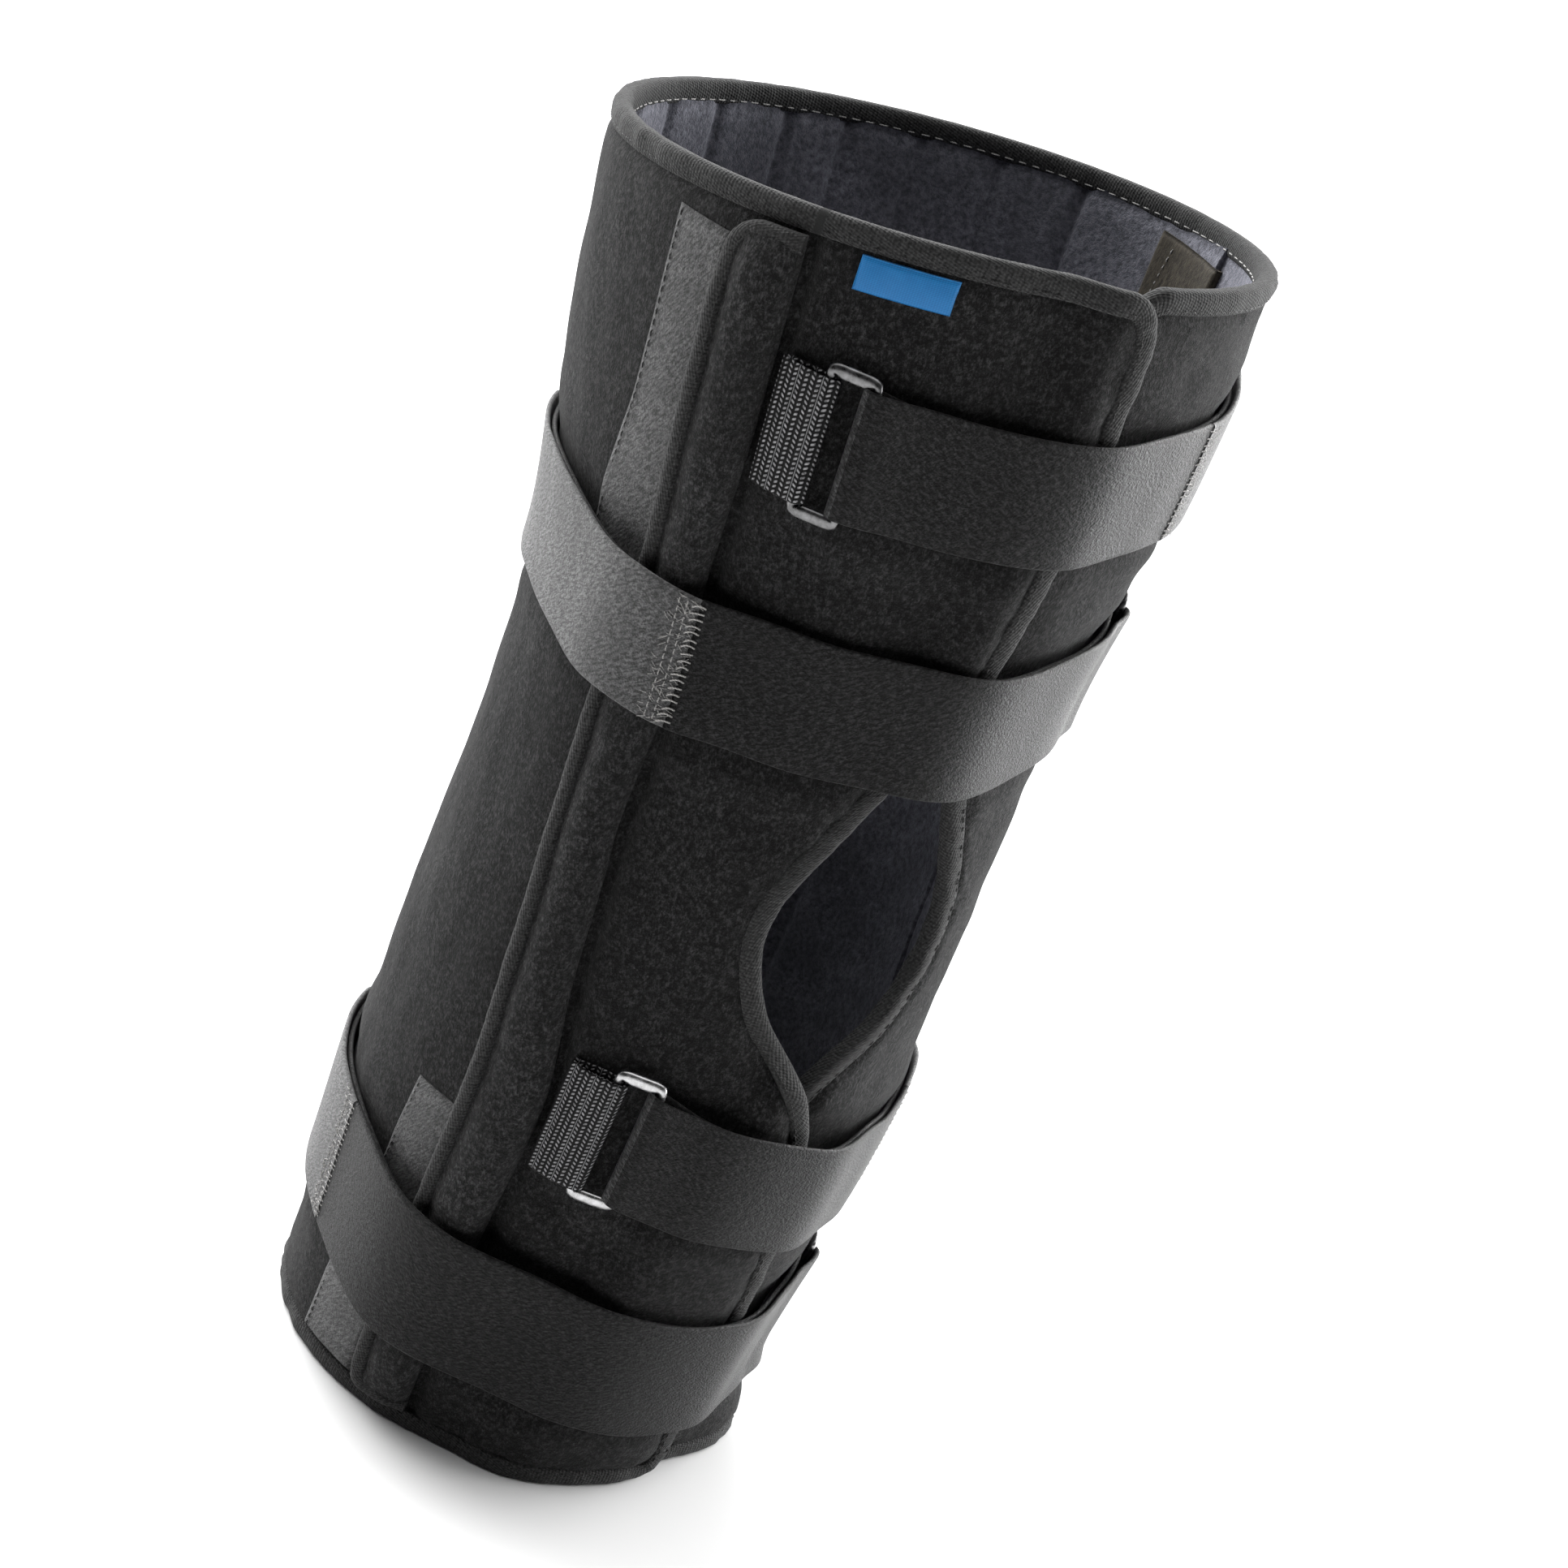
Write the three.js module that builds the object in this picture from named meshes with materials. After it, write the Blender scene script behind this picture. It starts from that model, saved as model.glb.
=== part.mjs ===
// Knee immobilizer: a padded wrap around an open limb space, with stay pads, straps, rings and a label.
// Millimetres, +Z up along the limb, the front (kneecap opening) towards -Y.
// Angles are degrees around the limb: 0 at the front, negative to the left side, positive to the right.
import * as THREE from "three";

// Driving dimensions
const HEIGHT = 400; // wrap height at mid rim
const THIGH_RADIUS = 95; // outside radius at the rim
const KNEE_FORWARD = 12.4; // how far the knee sections stand in front of the two ends
const RIM_TILT = 10; // the rim is higher than its mean on one side by this much
const RIM_MEAN = HEIGHT * 1.005;
const RIM_HIGH_AT = 40; // angle where the rim is highest
const FOAM = 5.2; // padded wall
const LINING = 1.4;
const GAP = 0.3; // clearance between pieces that touch
const EDGE_SINK = 0.7; // the padding is pressed flatter beside the binding
const PRESSED_UNDER = 0.3; // share of that on the inner face
const BINDING_WIDTH = 6.5;
const BINDING_PROUD = 0.3; // binding over the pressed padding
const OVERLAP_RAISE = FOAM + 0.9; // left flap over right flap
const OVERLAP_MARGIN = 3;
const OVERLAP_RAMP = 17;
const FLAP_FROM = -40; // angle where a strap starts to follow the left flap
const GROOVE_DEPTH = 2.2;
const JOINT_BACK = 5; // the back panel ends this far behind the groove, under the pad
const JOINT_GAP = 2; // between the back panel and a front panel
const PAD_THICK = 6.4;
const PAD_LIFT = 0.7; // pad underside over the wrap
const PAD_TOP_DROP = 7.1; // pad top below the rim
const PAD_BOTTOM_RISE = 7; // pad bottom above the hem
const RIGHT_PAD_SHIFT = 18; // the right pad sits further round than the left one (degrees)
const HOOK_THICK = 1.0;
const HOOK_WIDTH = 25;
const STRAP_THICK = 1.6;
const STRAP_CLEAR = 0.6;
const LAYER_STEP = STRAP_THICK + 0.5; // doubled strap layers, middle to middle
const WIRE = 2.6; // ring wire
const RING_REACH = 12; // between the two long bars, middle to middle
const RING_SLACK = 1.0; // ring wire beside the strap edge
const WEB_THICK = 1.4;
const LABEL_THICK = 0.7;
const LABEL_HEIGHT = 9.2;
const STRAP_WIDTH = 38;
const TAB_TAPER = 0.72; // width left at the tab's rounded end
const RING_GAP = 0.45; // strap or webbing over the ring wire
const RING_BEND = 2.6; // corner radius of the ring's middle line

// Sections of the wrap: share of the height, share of the thigh radius
const SECTION = [
  { share: 0, radius: 0.76 },
  { share: 0.125, radius: 0.787 },
  { share: 0.25, radius: 0.826 },
  { share: 0.375, radius: 0.84 },
  { share: 0.5, radius: 0.834 },
  { share: 0.625, radius: 0.832 },
  { share: 0.69, radius: 0.836 },
  { share: 0.75, radius: 0.87 },
  { share: 0.81, radius: 0.921 },
  { share: 0.875, radius: 0.958 },
  { share: 1, radius: 0.997 },
  { share: 1.04, radius: 1.003 },
];

// Left front panel edges (degrees) at shares of the height; the right one mirrors the front edge
const EDGES = [
  { share: 0, rear: -67, groove: -50.5, front: 17 },
  { share: 0.14, rear: -67.5, groove: -51, front: 15 },
  { share: 0.22, rear: -67.2, groove: -50.3, front: 13.5 },
  { share: 0.33, rear: -67, groove: -49.5, front: 7 },
  { share: 0.38, rear: -67.8, groove: -51.5, front: 2 },
  { share: 0.415, rear: -68.6, groove: -53.3, front: -4.5 },
  { share: 0.45, rear: -69.3, groove: -54.5, front: -14 },
  { share: 0.485, rear: -70, groove: -55.3, front: -19.5 },
  { share: 0.515, rear: -70.8, groove: -56, front: -21.5 },
  { share: 0.55, rear: -71.2, groove: -57, front: -19.8 },
  { share: 0.6, rear: -71.8, groove: -56.7, front: -13 },
  { share: 0.65, rear: -72, groove: -56, front: -6 },
  { share: 0.69, rear: -71, groove: -56, front: -1 },
  { share: 0.75, rear: -69, groove: -55.5, front: 2 },
  { share: 0.85, rear: -68, groove: -54, front: 2.8 },
  { share: 1, rear: -68, groove: -54.5, front: 2.8 },
];

// Corner roundings: along the edge row, along the column
const CORNER = {
  topFront: { along: 13, down: 19 },
  bottomFront: { along: 10, down: 13 },
  padTop: { along: 10, down: 10 },
  padBottom: { along: 5, down: 5 },
};

// Outward flare of the hem: angle of its middle, degrees to either side, height that it reaches
const HEM_FLARE = { out: 11, angle: 46, spread: 36, height: 36 };

// Straps: width as a share of STRAP_WIDTH, centre line as shares of the height over the angle,
// and the angles of the ring, of the seam with the hook tab, of the tab's end and of the sewn end
const STRAPS = [
  {
    name: "thigh_strap",
    width: 0.95,
    ringAt: -41.3,
    seam: 30,
    tabEnd: 88,
    sewn: 150,
    line: [
      { angle: -60, share: 0.866 },
      { angle: -40, share: 0.867 },
      { angle: -20, share: 0.87 },
      { angle: 0, share: 0.878 },
      { angle: 20, share: 0.887 },
      { angle: 40, share: 0.894 },
      { angle: 70, share: 0.9 },
      { angle: 150, share: 0.902 },
    ],
  },
  {
    name: "above_knee_strap",
    width: 1.015,
    ringAt: 60,
    seam: -54,
    tabEnd: -138,
    sewn: -152,
    line: [
      { angle: -152, share: 0.713 },
      { angle: -110, share: 0.708 },
      { angle: -100, share: 0.705 },
      { angle: -85, share: 0.698 },
      { angle: -70, share: 0.691 },
      { angle: -54, share: 0.688 },
      { angle: -40, share: 0.688 },
      { angle: -20, share: 0.692 },
      { angle: 0, share: 0.697 },
      { angle: 20, share: 0.705 },
      { angle: 45, share: 0.713 },
      { angle: 70, share: 0.716 },
    ],
  },
  {
    name: "below_knee_strap",
    width: 1.04,
    ringAt: -34.2,
    seam: 52,
    tabEnd: 108,
    sewn: 150,
    line: [
      { angle: -60, share: 0.339 },
      { angle: -33, share: 0.33 },
      { angle: -18, share: 0.322 },
      { angle: 0, share: 0.313 },
      { angle: 14, share: 0.307 },
      { angle: 30, share: 0.304 },
      { angle: 60, share: 0.299 },
      { angle: 150, share: 0.295 },
    ],
  },
  {
    name: "calf_strap",
    width: 1.24,
    ringAt: 57,
    seam: -94,
    tabEnd: -144,
    sewn: -154,
    line: [
      { angle: -154, share: 0.182 },
      { angle: -130, share: 0.179 },
      { angle: -104, share: 0.172 },
      { angle: -94, share: 0.168 },
      { angle: -84, share: 0.163 },
      { angle: -70, share: 0.153 },
      { angle: -54, share: 0.146 },
      { angle: -40, share: 0.142 },
      { angle: -20, share: 0.132 },
      { angle: 0, share: 0.124 },
      { angle: 20, share: 0.122 },
      { angle: 45, share: 0.121 },
      { angle: 70, share: 0.121 },
    ],
  },
];

// Hook strips beside the left pad: angle of the outer edge at shares of the height
const HOOKS = [
  {
    name: "upper_hook_strip",
    rows: [
      { share: 0.665, angle: -88 },
      { share: 0.75, angle: -85.8 },
      { share: 0.84, angle: -80.6 },
      { share: 0.963, angle: -79.8 },
    ],
  },
  {
    name: "lower_hook_strip",
    rows: [
      { share: 0.02, angle: -88.3 },
      { share: 0.088, angle: -87 },
      { share: 0.215, angle: -81.9 },
      { share: 0.288, angle: -80.2 },
    ],
  },
];

const LABEL = { from: -46.4, to: -30.8 }; // angles of its two ends
const PATCH = { from: 73, to: 94, low: 0.87, high: 0.998 }; // angles, and shares of the height

// Helpers
const rad = (a) => (a * Math.PI) / 180;
const lerp = (a, b, t) => a + (b - a) * t;
const ease = (t) => {
  const c = Math.min(1, Math.max(0, t));
  return c * c * (3 - 2 * c);
};

// Smooth curve through rows of [x, y].
function curve(rows) {
  const slope = rows.map((row, i) => {
    const a = rows[Math.max(0, i - 1)];
    const b = rows[Math.min(rows.length - 1, i + 1)];
    return (b[1] - a[1]) / (b[0] - a[0]);
  });
  return (x) => {
    let i = 0;
    while (i < rows.length - 2 && x > rows[i + 1][0]) {
      i += 1;
    }
    const [x0, y0] = rows[i];
    const [x1, y1] = rows[i + 1];
    const h = x1 - x0;
    const t = Math.min(1.2, Math.max(-0.2, (x - x0) / h));
    const a = t * t * (3 - 2 * t);
    const b = t * (1 - t) * (1 - t) * h * slope[i];
    const c = t * t * (t - 1) * h * slope[i + 1];
    return y0 * (1 - a) + y1 * a + b + c;
  };
}

const radius = curve(SECTION.map((s) => [s.share * HEIGHT, s.radius * THIGH_RADIUS]));
const edgeCurve = (column) => curve(EDGES.map((e) => [e.share * HEIGHT, e[column]]));
const rearAt = edgeCurve("rear");
const grooveAt = edgeCurve("groove");
const frontAt = edgeCurve("front");
const forward = (z) => {
  const t = Math.min(1, Math.max(0, z / HEIGHT));
  return KNEE_FORWARD * Math.pow(Math.sin(Math.PI * t), 1.2);
};
const rim = (angle) => RIM_MEAN + RIM_TILT * Math.cos(rad(angle - RIM_HIGH_AT));
const degrees = (mm, z) => ((mm / radius(z)) * 180) / Math.PI;
const arc = (deg, z) => rad(deg) * radius(z);

// The hem flares outwards beside the flap, at the right front.
function flare(angle, z) {
  const beside = 1 - Math.abs(angle - HEM_FLARE.angle) / HEM_FLARE.spread;
  return HEM_FLARE.out * ease(1 - z / HEM_FLARE.height) * ease(beside);
}

// Point at an angle and height, standing off the wrap's outer face.
function at(angle, z, off) {
  const r = radius(z) + off + flare(angle, z);
  return [r * Math.sin(rad(angle)), -r * Math.cos(rad(angle)) - forward(z), z];
}

function meshOf(name, points, faces, colour, roughness, metalness = 0) {
  const geometry = new THREE.BufferGeometry();
  let volume = 0;
  for (const [a, b, c] of faces) {
    const p = points[a];
    const q = points[b];
    const s = points[c];
    volume += p[0] * (q[1] * s[2] - q[2] * s[1]);
    volume += p[1] * (q[2] * s[0] - q[0] * s[2]);
    volume += p[2] * (q[0] * s[1] - q[1] * s[0]);
  }
  const outward = volume < 0 ? faces.map(([a, b, c]) => [a, c, b]) : faces;
  geometry.setAttribute("position", new THREE.Float32BufferAttribute(points.flat(), 3));
  geometry.setIndex(outward.flat());
  geometry.computeVertexNormals();
  const material = new THREE.MeshStandardMaterial({ color: colour, roughness, metalness });
  const mesh = new THREE.Mesh(geometry, material);
  mesh.name = name;
  return mesh;
}

// Closed solid between an outer and an inner grid of points, rows by columns.
function shell(outer, inner) {
  const rows = outer.length;
  const cols = outer[0].length;
  const points = [...outer.flat(), ...inner.flat()];
  const o = (r, c) => r * cols + c;
  const n = (r, c) => rows * cols + r * cols + c;
  const faces = [];
  const quad = (a, b, c, d) => faces.push([a, b, c], [a, c, d]);
  for (let r = 0; r < rows - 1; r += 1) {
    for (let c = 0; c < cols - 1; c += 1) {
      quad(o(r, c), o(r, c + 1), o(r + 1, c + 1), o(r + 1, c));
      quad(n(r, c), n(r + 1, c), n(r + 1, c + 1), n(r, c + 1));
    }
  }
  for (let c = 0; c < cols - 1; c += 1) {
    quad(o(0, c + 1), o(0, c), n(0, c), n(0, c + 1));
    quad(o(rows - 1, c), o(rows - 1, c + 1), n(rows - 1, c + 1), n(rows - 1, c));
  }
  for (let r = 0; r < rows - 1; r += 1) {
    quad(o(r, 0), o(r + 1, 0), n(r + 1, 0), n(r, 0));
    quad(o(r + 1, cols - 1), o(r, cols - 1), n(r, cols - 1), n(r + 1, cols - 1));
  }
  return { points, faces };
}

// Solid swept through convex sections, closed in a loop or capped at both ends.
function sweep(sections, closed) {
  const k = sections[0].length;
  const points = sections.flat();
  const faces = [];
  const count = sections.length;
  const last = closed ? count : count - 1;
  for (let i = 0; i < last; i += 1) {
    const a = i * k;
    const b = ((i + 1) % count) * k;
    for (let j = 0; j < k; j += 1) {
      const m = (j + 1) % k;
      faces.push([a + j, a + m, b + m], [a + j, b + m, b + j]);
    }
  }
  if (!closed) {
    for (let j = 1; j < k - 1; j += 1) {
      faces.push([0, j + 1, j]);
      const e = (count - 1) * k;
      faces.push([e, e + j, e + j + 1]);
    }
  }
  return { points, faces };
}

const COLOURS = {
  fabric: 0x2b2b2d,
  lining: 0x2a2c3c,
  binding: 0x3a3a3c,
  strap: 0x37373a,
  tab: 0x59595b,
  webbing: 0x333436,
  metal: 0x8d8f93,
  label: 0x2f78c4,
  patch: 0x4b443c,
};
const group = new THREE.Group();
const add = (name, solid, colour, roughness, metalness) =>
  group.add(meshOf(name, solid.points, solid.faces, colour, roughness, metalness));

// Sides: angles are worked out as on the left and mirrored for the right
const LEFT = { name: "left", sign: 1, shift: 0, raised: true };
const RIGHT = { name: "right", sign: -1, shift: RIGHT_PAD_SHIFT, raised: false };
const groove = (side, z) => grooveAt(z) - side.shift;
const rear = (side, z) => rearAt(z) - side.shift;

// How far the left flap climbs over the right flap's hidden edge.
function raise(side, angle, z) {
  if (!side.raised) return 0;
  const full = -frontAt(z) - degrees(OVERLAP_MARGIN, z);
  const ramp = degrees(OVERLAP_RAMP, z);
  return OVERLAP_RAISE * ease((angle - (full - ramp)) / ramp);
}

// Quarter-ellipse drop at a distance from an edge.
function corner(shape, inset, distance) {
  const a = Math.max(2, shape.along - inset);
  const b = Math.max(3, shape.down - inset);
  if (distance >= a) return 0;
  const t = 1 - Math.max(0, distance) / a;
  return b * (1 - Math.sqrt(Math.max(0, 1 - t * t)));
}

// Front edge angle moved inwards by an inset measured square to the edge.
function frontEdge(z, inset) {
  const step = 4;
  const lean = arc(frontAt(z + step) - frontAt(z - step), z) / (2 * step);
  return frontAt(z) - degrees(inset * Math.hypot(1, lean), z);
}

function topEdge(side, angle, inset) {
  const distance = arc(frontAt(HEIGHT) - angle, HEIGHT) - inset;
  return rim(angle * side.sign) - inset - corner(CORNER.topFront, inset, distance);
}

function bottomEdge(angle, inset) {
  const distance = arc(frontAt(0) - angle, 0) - inset;
  return inset + corner(CORNER.bottomFront, inset, distance);
}

// Rows shared by the front panels and their binding, so that both follow one kneecap cut-out.
const ROWS = [
  0, 0.06, 0.14, 0.24, 0.33, 0.375, 0.41, 0.445, 0.48, 0.515, 0.55, 0.59, 0.63, 0.67, 0.71, 0.78, 0.87,
  0.95, 1,
];

// A point of a front panel: share across from the joint to the front edge, share up.
function panelPoint(side, across, share, inset) {
  let z = share * HEIGHT;
  let angle = 0;
  for (let pass = 0; pass < 3; pass += 1) {
    const start = groove(side, z) - degrees(JOINT_BACK - JOINT_GAP, z);
    if (typeof across === "number") angle = lerp(start, frontEdge(z, inset), across);
    else angle = groove(side, z) + degrees(across.mm, z);
    z = lerp(bottomEdge(angle, inset), topEdge(side, angle, inset), share);
  }
  return { angle, z };
}

// Columns from the joint to the front edge; mm columns are measured from the groove.
const COLUMNS = [
  { across: 0, sink: 0 },
  { across: { mm: -0.8 }, sink: GROOVE_DEPTH },
  { across: { mm: 1.2 }, sink: GROOVE_DEPTH },
  { across: { mm: 5 }, sink: 0.2 },
  { across: 0.32, sink: 0 },
  { across: 0.46, sink: 0 },
  { across: 0.6, sink: 0 },
  { across: 0.72, sink: 0 },
  { across: 0.83, sink: 0 },
  { across: 0.92, sink: 0.1 },
  { across: 0.97, sink: 0.4 },
  { across: 1, sink: EDGE_SINK },
];
const PANEL_INSET = BINDING_WIDTH + 2 * GAP;

function frontPanel(side) {
  const outer = [];
  const inner = [];
  ROWS.forEach((share, row) => {
    const pressed = row === 0 || row === ROWS.length - 1 ? EDGE_SINK : 0;
    const line = COLUMNS.map((column) => ({
      ...panelPoint(side, column.across, share, PANEL_INSET),
      column,
    }));
    outer.push(
      line.map(({ angle, z, column }) => {
        const lift = raise(side, angle, z);
        return at(angle * side.sign, z, lift - Math.max(pressed, column.sink));
      }),
    );
    const under = PRESSED_UNDER * pressed - FOAM;
    inner.push(line.map(({ angle, z }) => at(angle * side.sign, z, raise(side, angle, z) + under)));
  });
  return shell(outer, inner);
}
add("left_front_panel", frontPanel(LEFT), COLOURS.fabric, 0.95);
add("right_front_panel", frontPanel(RIGHT), COLOURS.fabric, 0.95);

// Back panel and its lining: angles run from the right joint round the back to the left joint
const BACK_COLUMNS = 27;
const BACK_ROWS = [0, 0.1, 0.22, 0.35, 0.5, 0.63, 0.7, 0.77, 0.85, 0.93, 1];
function backShell(columns, rows, inset, outerOff, innerOff, sink) {
  const outer = [];
  const inner = [];
  rows.forEach((share, row) => {
    const end = row === 0 || row === rows.length - 1;
    const o = [];
    const n = [];
    for (let c = 0; c < columns; c += 1) {
      const t = c / (columns - 1);
      let z = share * HEIGHT;
      let angle = 0;
      for (let pass = 0; pass < 3; pass += 1) {
        const right = -groove(RIGHT, z) + degrees(JOINT_BACK, z);
        const left = 360 + groove(LEFT, z) - degrees(JOINT_BACK, z);
        angle = lerp(right, left, t);
        z = lerp(inset, rim(angle) - inset, share);
      }
      o.push(at(angle, z, outerOff - (end ? sink : 0)));
      n.push(at(angle, z, innerOff));
    }
    outer.push(o);
    inner.push(n);
  });
  return shell(outer, inner);
}
const backPanel = backShell(BACK_COLUMNS, BACK_ROWS, PANEL_INSET, 0, LINING + GAP - FOAM, EDGE_SINK);
const backLining = backShell(BACK_COLUMNS, BACK_ROWS, PANEL_INSET, LINING - FOAM, -FOAM, 0);
add("back_panel", backPanel, COLOURS.fabric, 0.95);
add("back_lining", backLining, COLOURS.lining, 0.9);

// Edge binding: one tape round the whole outline of the wrap
const CORNER_STEPS = [0, 18, 36, 54, 72, 90];
const RIM_STEP = 7;

// Outline of one front panel: from the joint over the top corner, down the front edge, back along the hem.
function frontOutline(side, inset) {
  const line = [];
  const reach = (shape, z) => degrees(Math.max(2, shape.along - inset), z);
  const topEnd = frontAt(HEIGHT) - degrees(inset, HEIGHT);
  const bottomEnd = frontAt(0) - degrees(inset, 0);
  const start = groove(side, HEIGHT) + degrees(1.2, HEIGHT);
  const topRun = topEnd - reach(CORNER.topFront, HEIGHT);
  const steps = Math.round((topRun - start) / RIM_STEP);
  for (let i = 0; i < steps; i += 1) {
    const angle = lerp(start, topRun, i / steps);
    line.push({ angle, z: topEdge(side, angle, inset) });
  }
  for (const phi of [...CORNER_STEPS].reverse()) {
    const a = Math.max(2, CORNER.topFront.along - inset);
    const b = Math.max(3, CORNER.topFront.down - inset);
    const angle = topEnd - degrees(a * (1 - Math.cos(rad(phi))), HEIGHT);
    line.push({ angle, z: rim(angle * side.sign) - inset - b * (1 - Math.sin(rad(phi))) });
  }
  for (const share of [...ROWS].reverse().slice(1, -1)) {
    line.push(panelPoint(side, 1, share, inset));
  }
  for (const phi of CORNER_STEPS) {
    const a = Math.max(2, CORNER.bottomFront.along - inset);
    const b = Math.max(3, CORNER.bottomFront.down - inset);
    const angle = bottomEnd - degrees(a * (1 - Math.cos(rad(phi))), 0);
    line.push({ angle, z: inset + b * (1 - Math.sin(rad(phi))) });
  }
  const bottomRun = bottomEnd - reach(CORNER.bottomFront, 0);
  const bottomStart = groove(side, 0) + degrees(1.2, 0);
  const back = Math.round((bottomRun - bottomStart) / RIM_STEP);
  for (let i = 1; i <= back; i += 1) {
    line.push({ angle: lerp(bottomRun, bottomStart, i / back), z: inset });
  }
  return line;
}

// Binding section at one place of the outline: contour point, inner contour point and the panel's lift.
function bindingSection(edge, inner, sign, lift) {
  const round = 1.5; // rounding of the folded tape
  const top = BINDING_PROUD - EDGE_SINK + lift;
  const under = -FOAM - BINDING_PROUD * 0.5 + lift;
  const spot = (t, off) => at(lerp(edge.angle, inner.angle, t) * sign, lerp(edge.z, inner.z, t), off);
  const outer = [spot(1, top), spot(0.3, top + 0.2), spot(0, top - round)];
  const inside = [spot(0, under + round), spot(0.3, under), spot(1, under)];
  return [...outer, ...inside];
}

function edgeBinding() {
  const sections = [];
  const half = (side, list) => {
    const edge = frontOutline(side, 0);
    const inner = frontOutline(side, BINDING_WIDTH);
    edge.forEach((p, i) => {
      list.push(bindingSection(p, inner[i], side.sign, raise(side, p.angle, p.z)));
    });
  };
  const left = [];
  half(LEFT, left);
  const right = [];
  half(RIGHT, right);
  // Round the back: the hem from left to right, then the rim from right to left.
  const around = (z, inset, fromAngle, toAngle) => {
    const steps = Math.round(Math.abs(toAngle - fromAngle) / RIM_STEP);
    const list = [];
    for (let i = 1; i < steps; i += 1) {
      const angle = lerp(fromAngle, toAngle, i / steps);
      list.push({ angle, z: z(angle) + inset });
    }
    return list;
  };
  const leftHem = 360 + groove(LEFT, 0) + degrees(1.2, 0);
  const rightHem = -groove(RIGHT, 0) - degrees(1.2, 0);
  const leftRim = 360 + groove(LEFT, HEIGHT) + degrees(1.2, HEIGHT);
  const rightRim = -groove(RIGHT, HEIGHT) - degrees(1.2, HEIGHT);
  const hemEdge = around(() => 0, 0, leftHem, rightHem);
  const hemInner = around(() => 0, BINDING_WIDTH, leftHem, rightHem);
  const rimEdge = around(rim, 0, rightRim, leftRim);
  const rimInner = around(rim, -BINDING_WIDTH, rightRim, leftRim);
  sections.push(...left);
  hemEdge.forEach((p, i) => sections.push(bindingSection(p, hemInner[i], 1, 0)));
  sections.push(...right.reverse());
  rimEdge.forEach((p, i) => sections.push(bindingSection(p, rimInner[i], 1, 0)));
  return sweep(sections, true);
}
add("edge_binding", edgeBinding(), COLOURS.binding, 0.85);

// Stay pads over the joints, each with its own bead along the rear edge, top and hem
const PAD_END = 0.82; // share of the pad's thickness at its two ends
const PAD_ROWS = [0, 0.08, 0.2, 0.33, 0.42, 0.5, 0.58, 0.66, 0.74, 0.82, 0.91, 1];
const PAD_COLUMNS = [
  { across: 0, top: 0.82 },
  { across: 0.2, top: 0.98 },
  { across: 0.5, top: 1.06 },
  { across: 0.8, top: 1 },
  { across: 0.95, top: 0.72 },
  { across: 1, top: 0.34 },
];
const BEAD_WIDTH = 4.6;
const PAD_FRONT_GAP = 1.2;

function padTopEdge(side, angle, inset) {
  const distance = arc(angle - rear(side, HEIGHT), HEIGHT) - inset;
  return rim(angle * side.sign) - PAD_TOP_DROP - inset - corner(CORNER.padTop, inset, distance);
}

function padBottomEdge(side, angle, inset) {
  const distance = arc(angle - rear(side, 0), 0) - inset;
  return PAD_BOTTOM_RISE + inset + corner(CORNER.padBottom, inset, distance);
}

function padPoint(side, across, share, inset) {
  let z = share * HEIGHT;
  let angle = 0;
  for (let pass = 0; pass < 3; pass += 1) {
    angle = lerp(rear(side, z) + degrees(inset, z), groove(side, z) - degrees(PAD_FRONT_GAP, z), across);
    z = lerp(padBottomEdge(side, angle, inset), padTopEdge(side, angle, inset), share);
  }
  return { angle, z };
}

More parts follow.
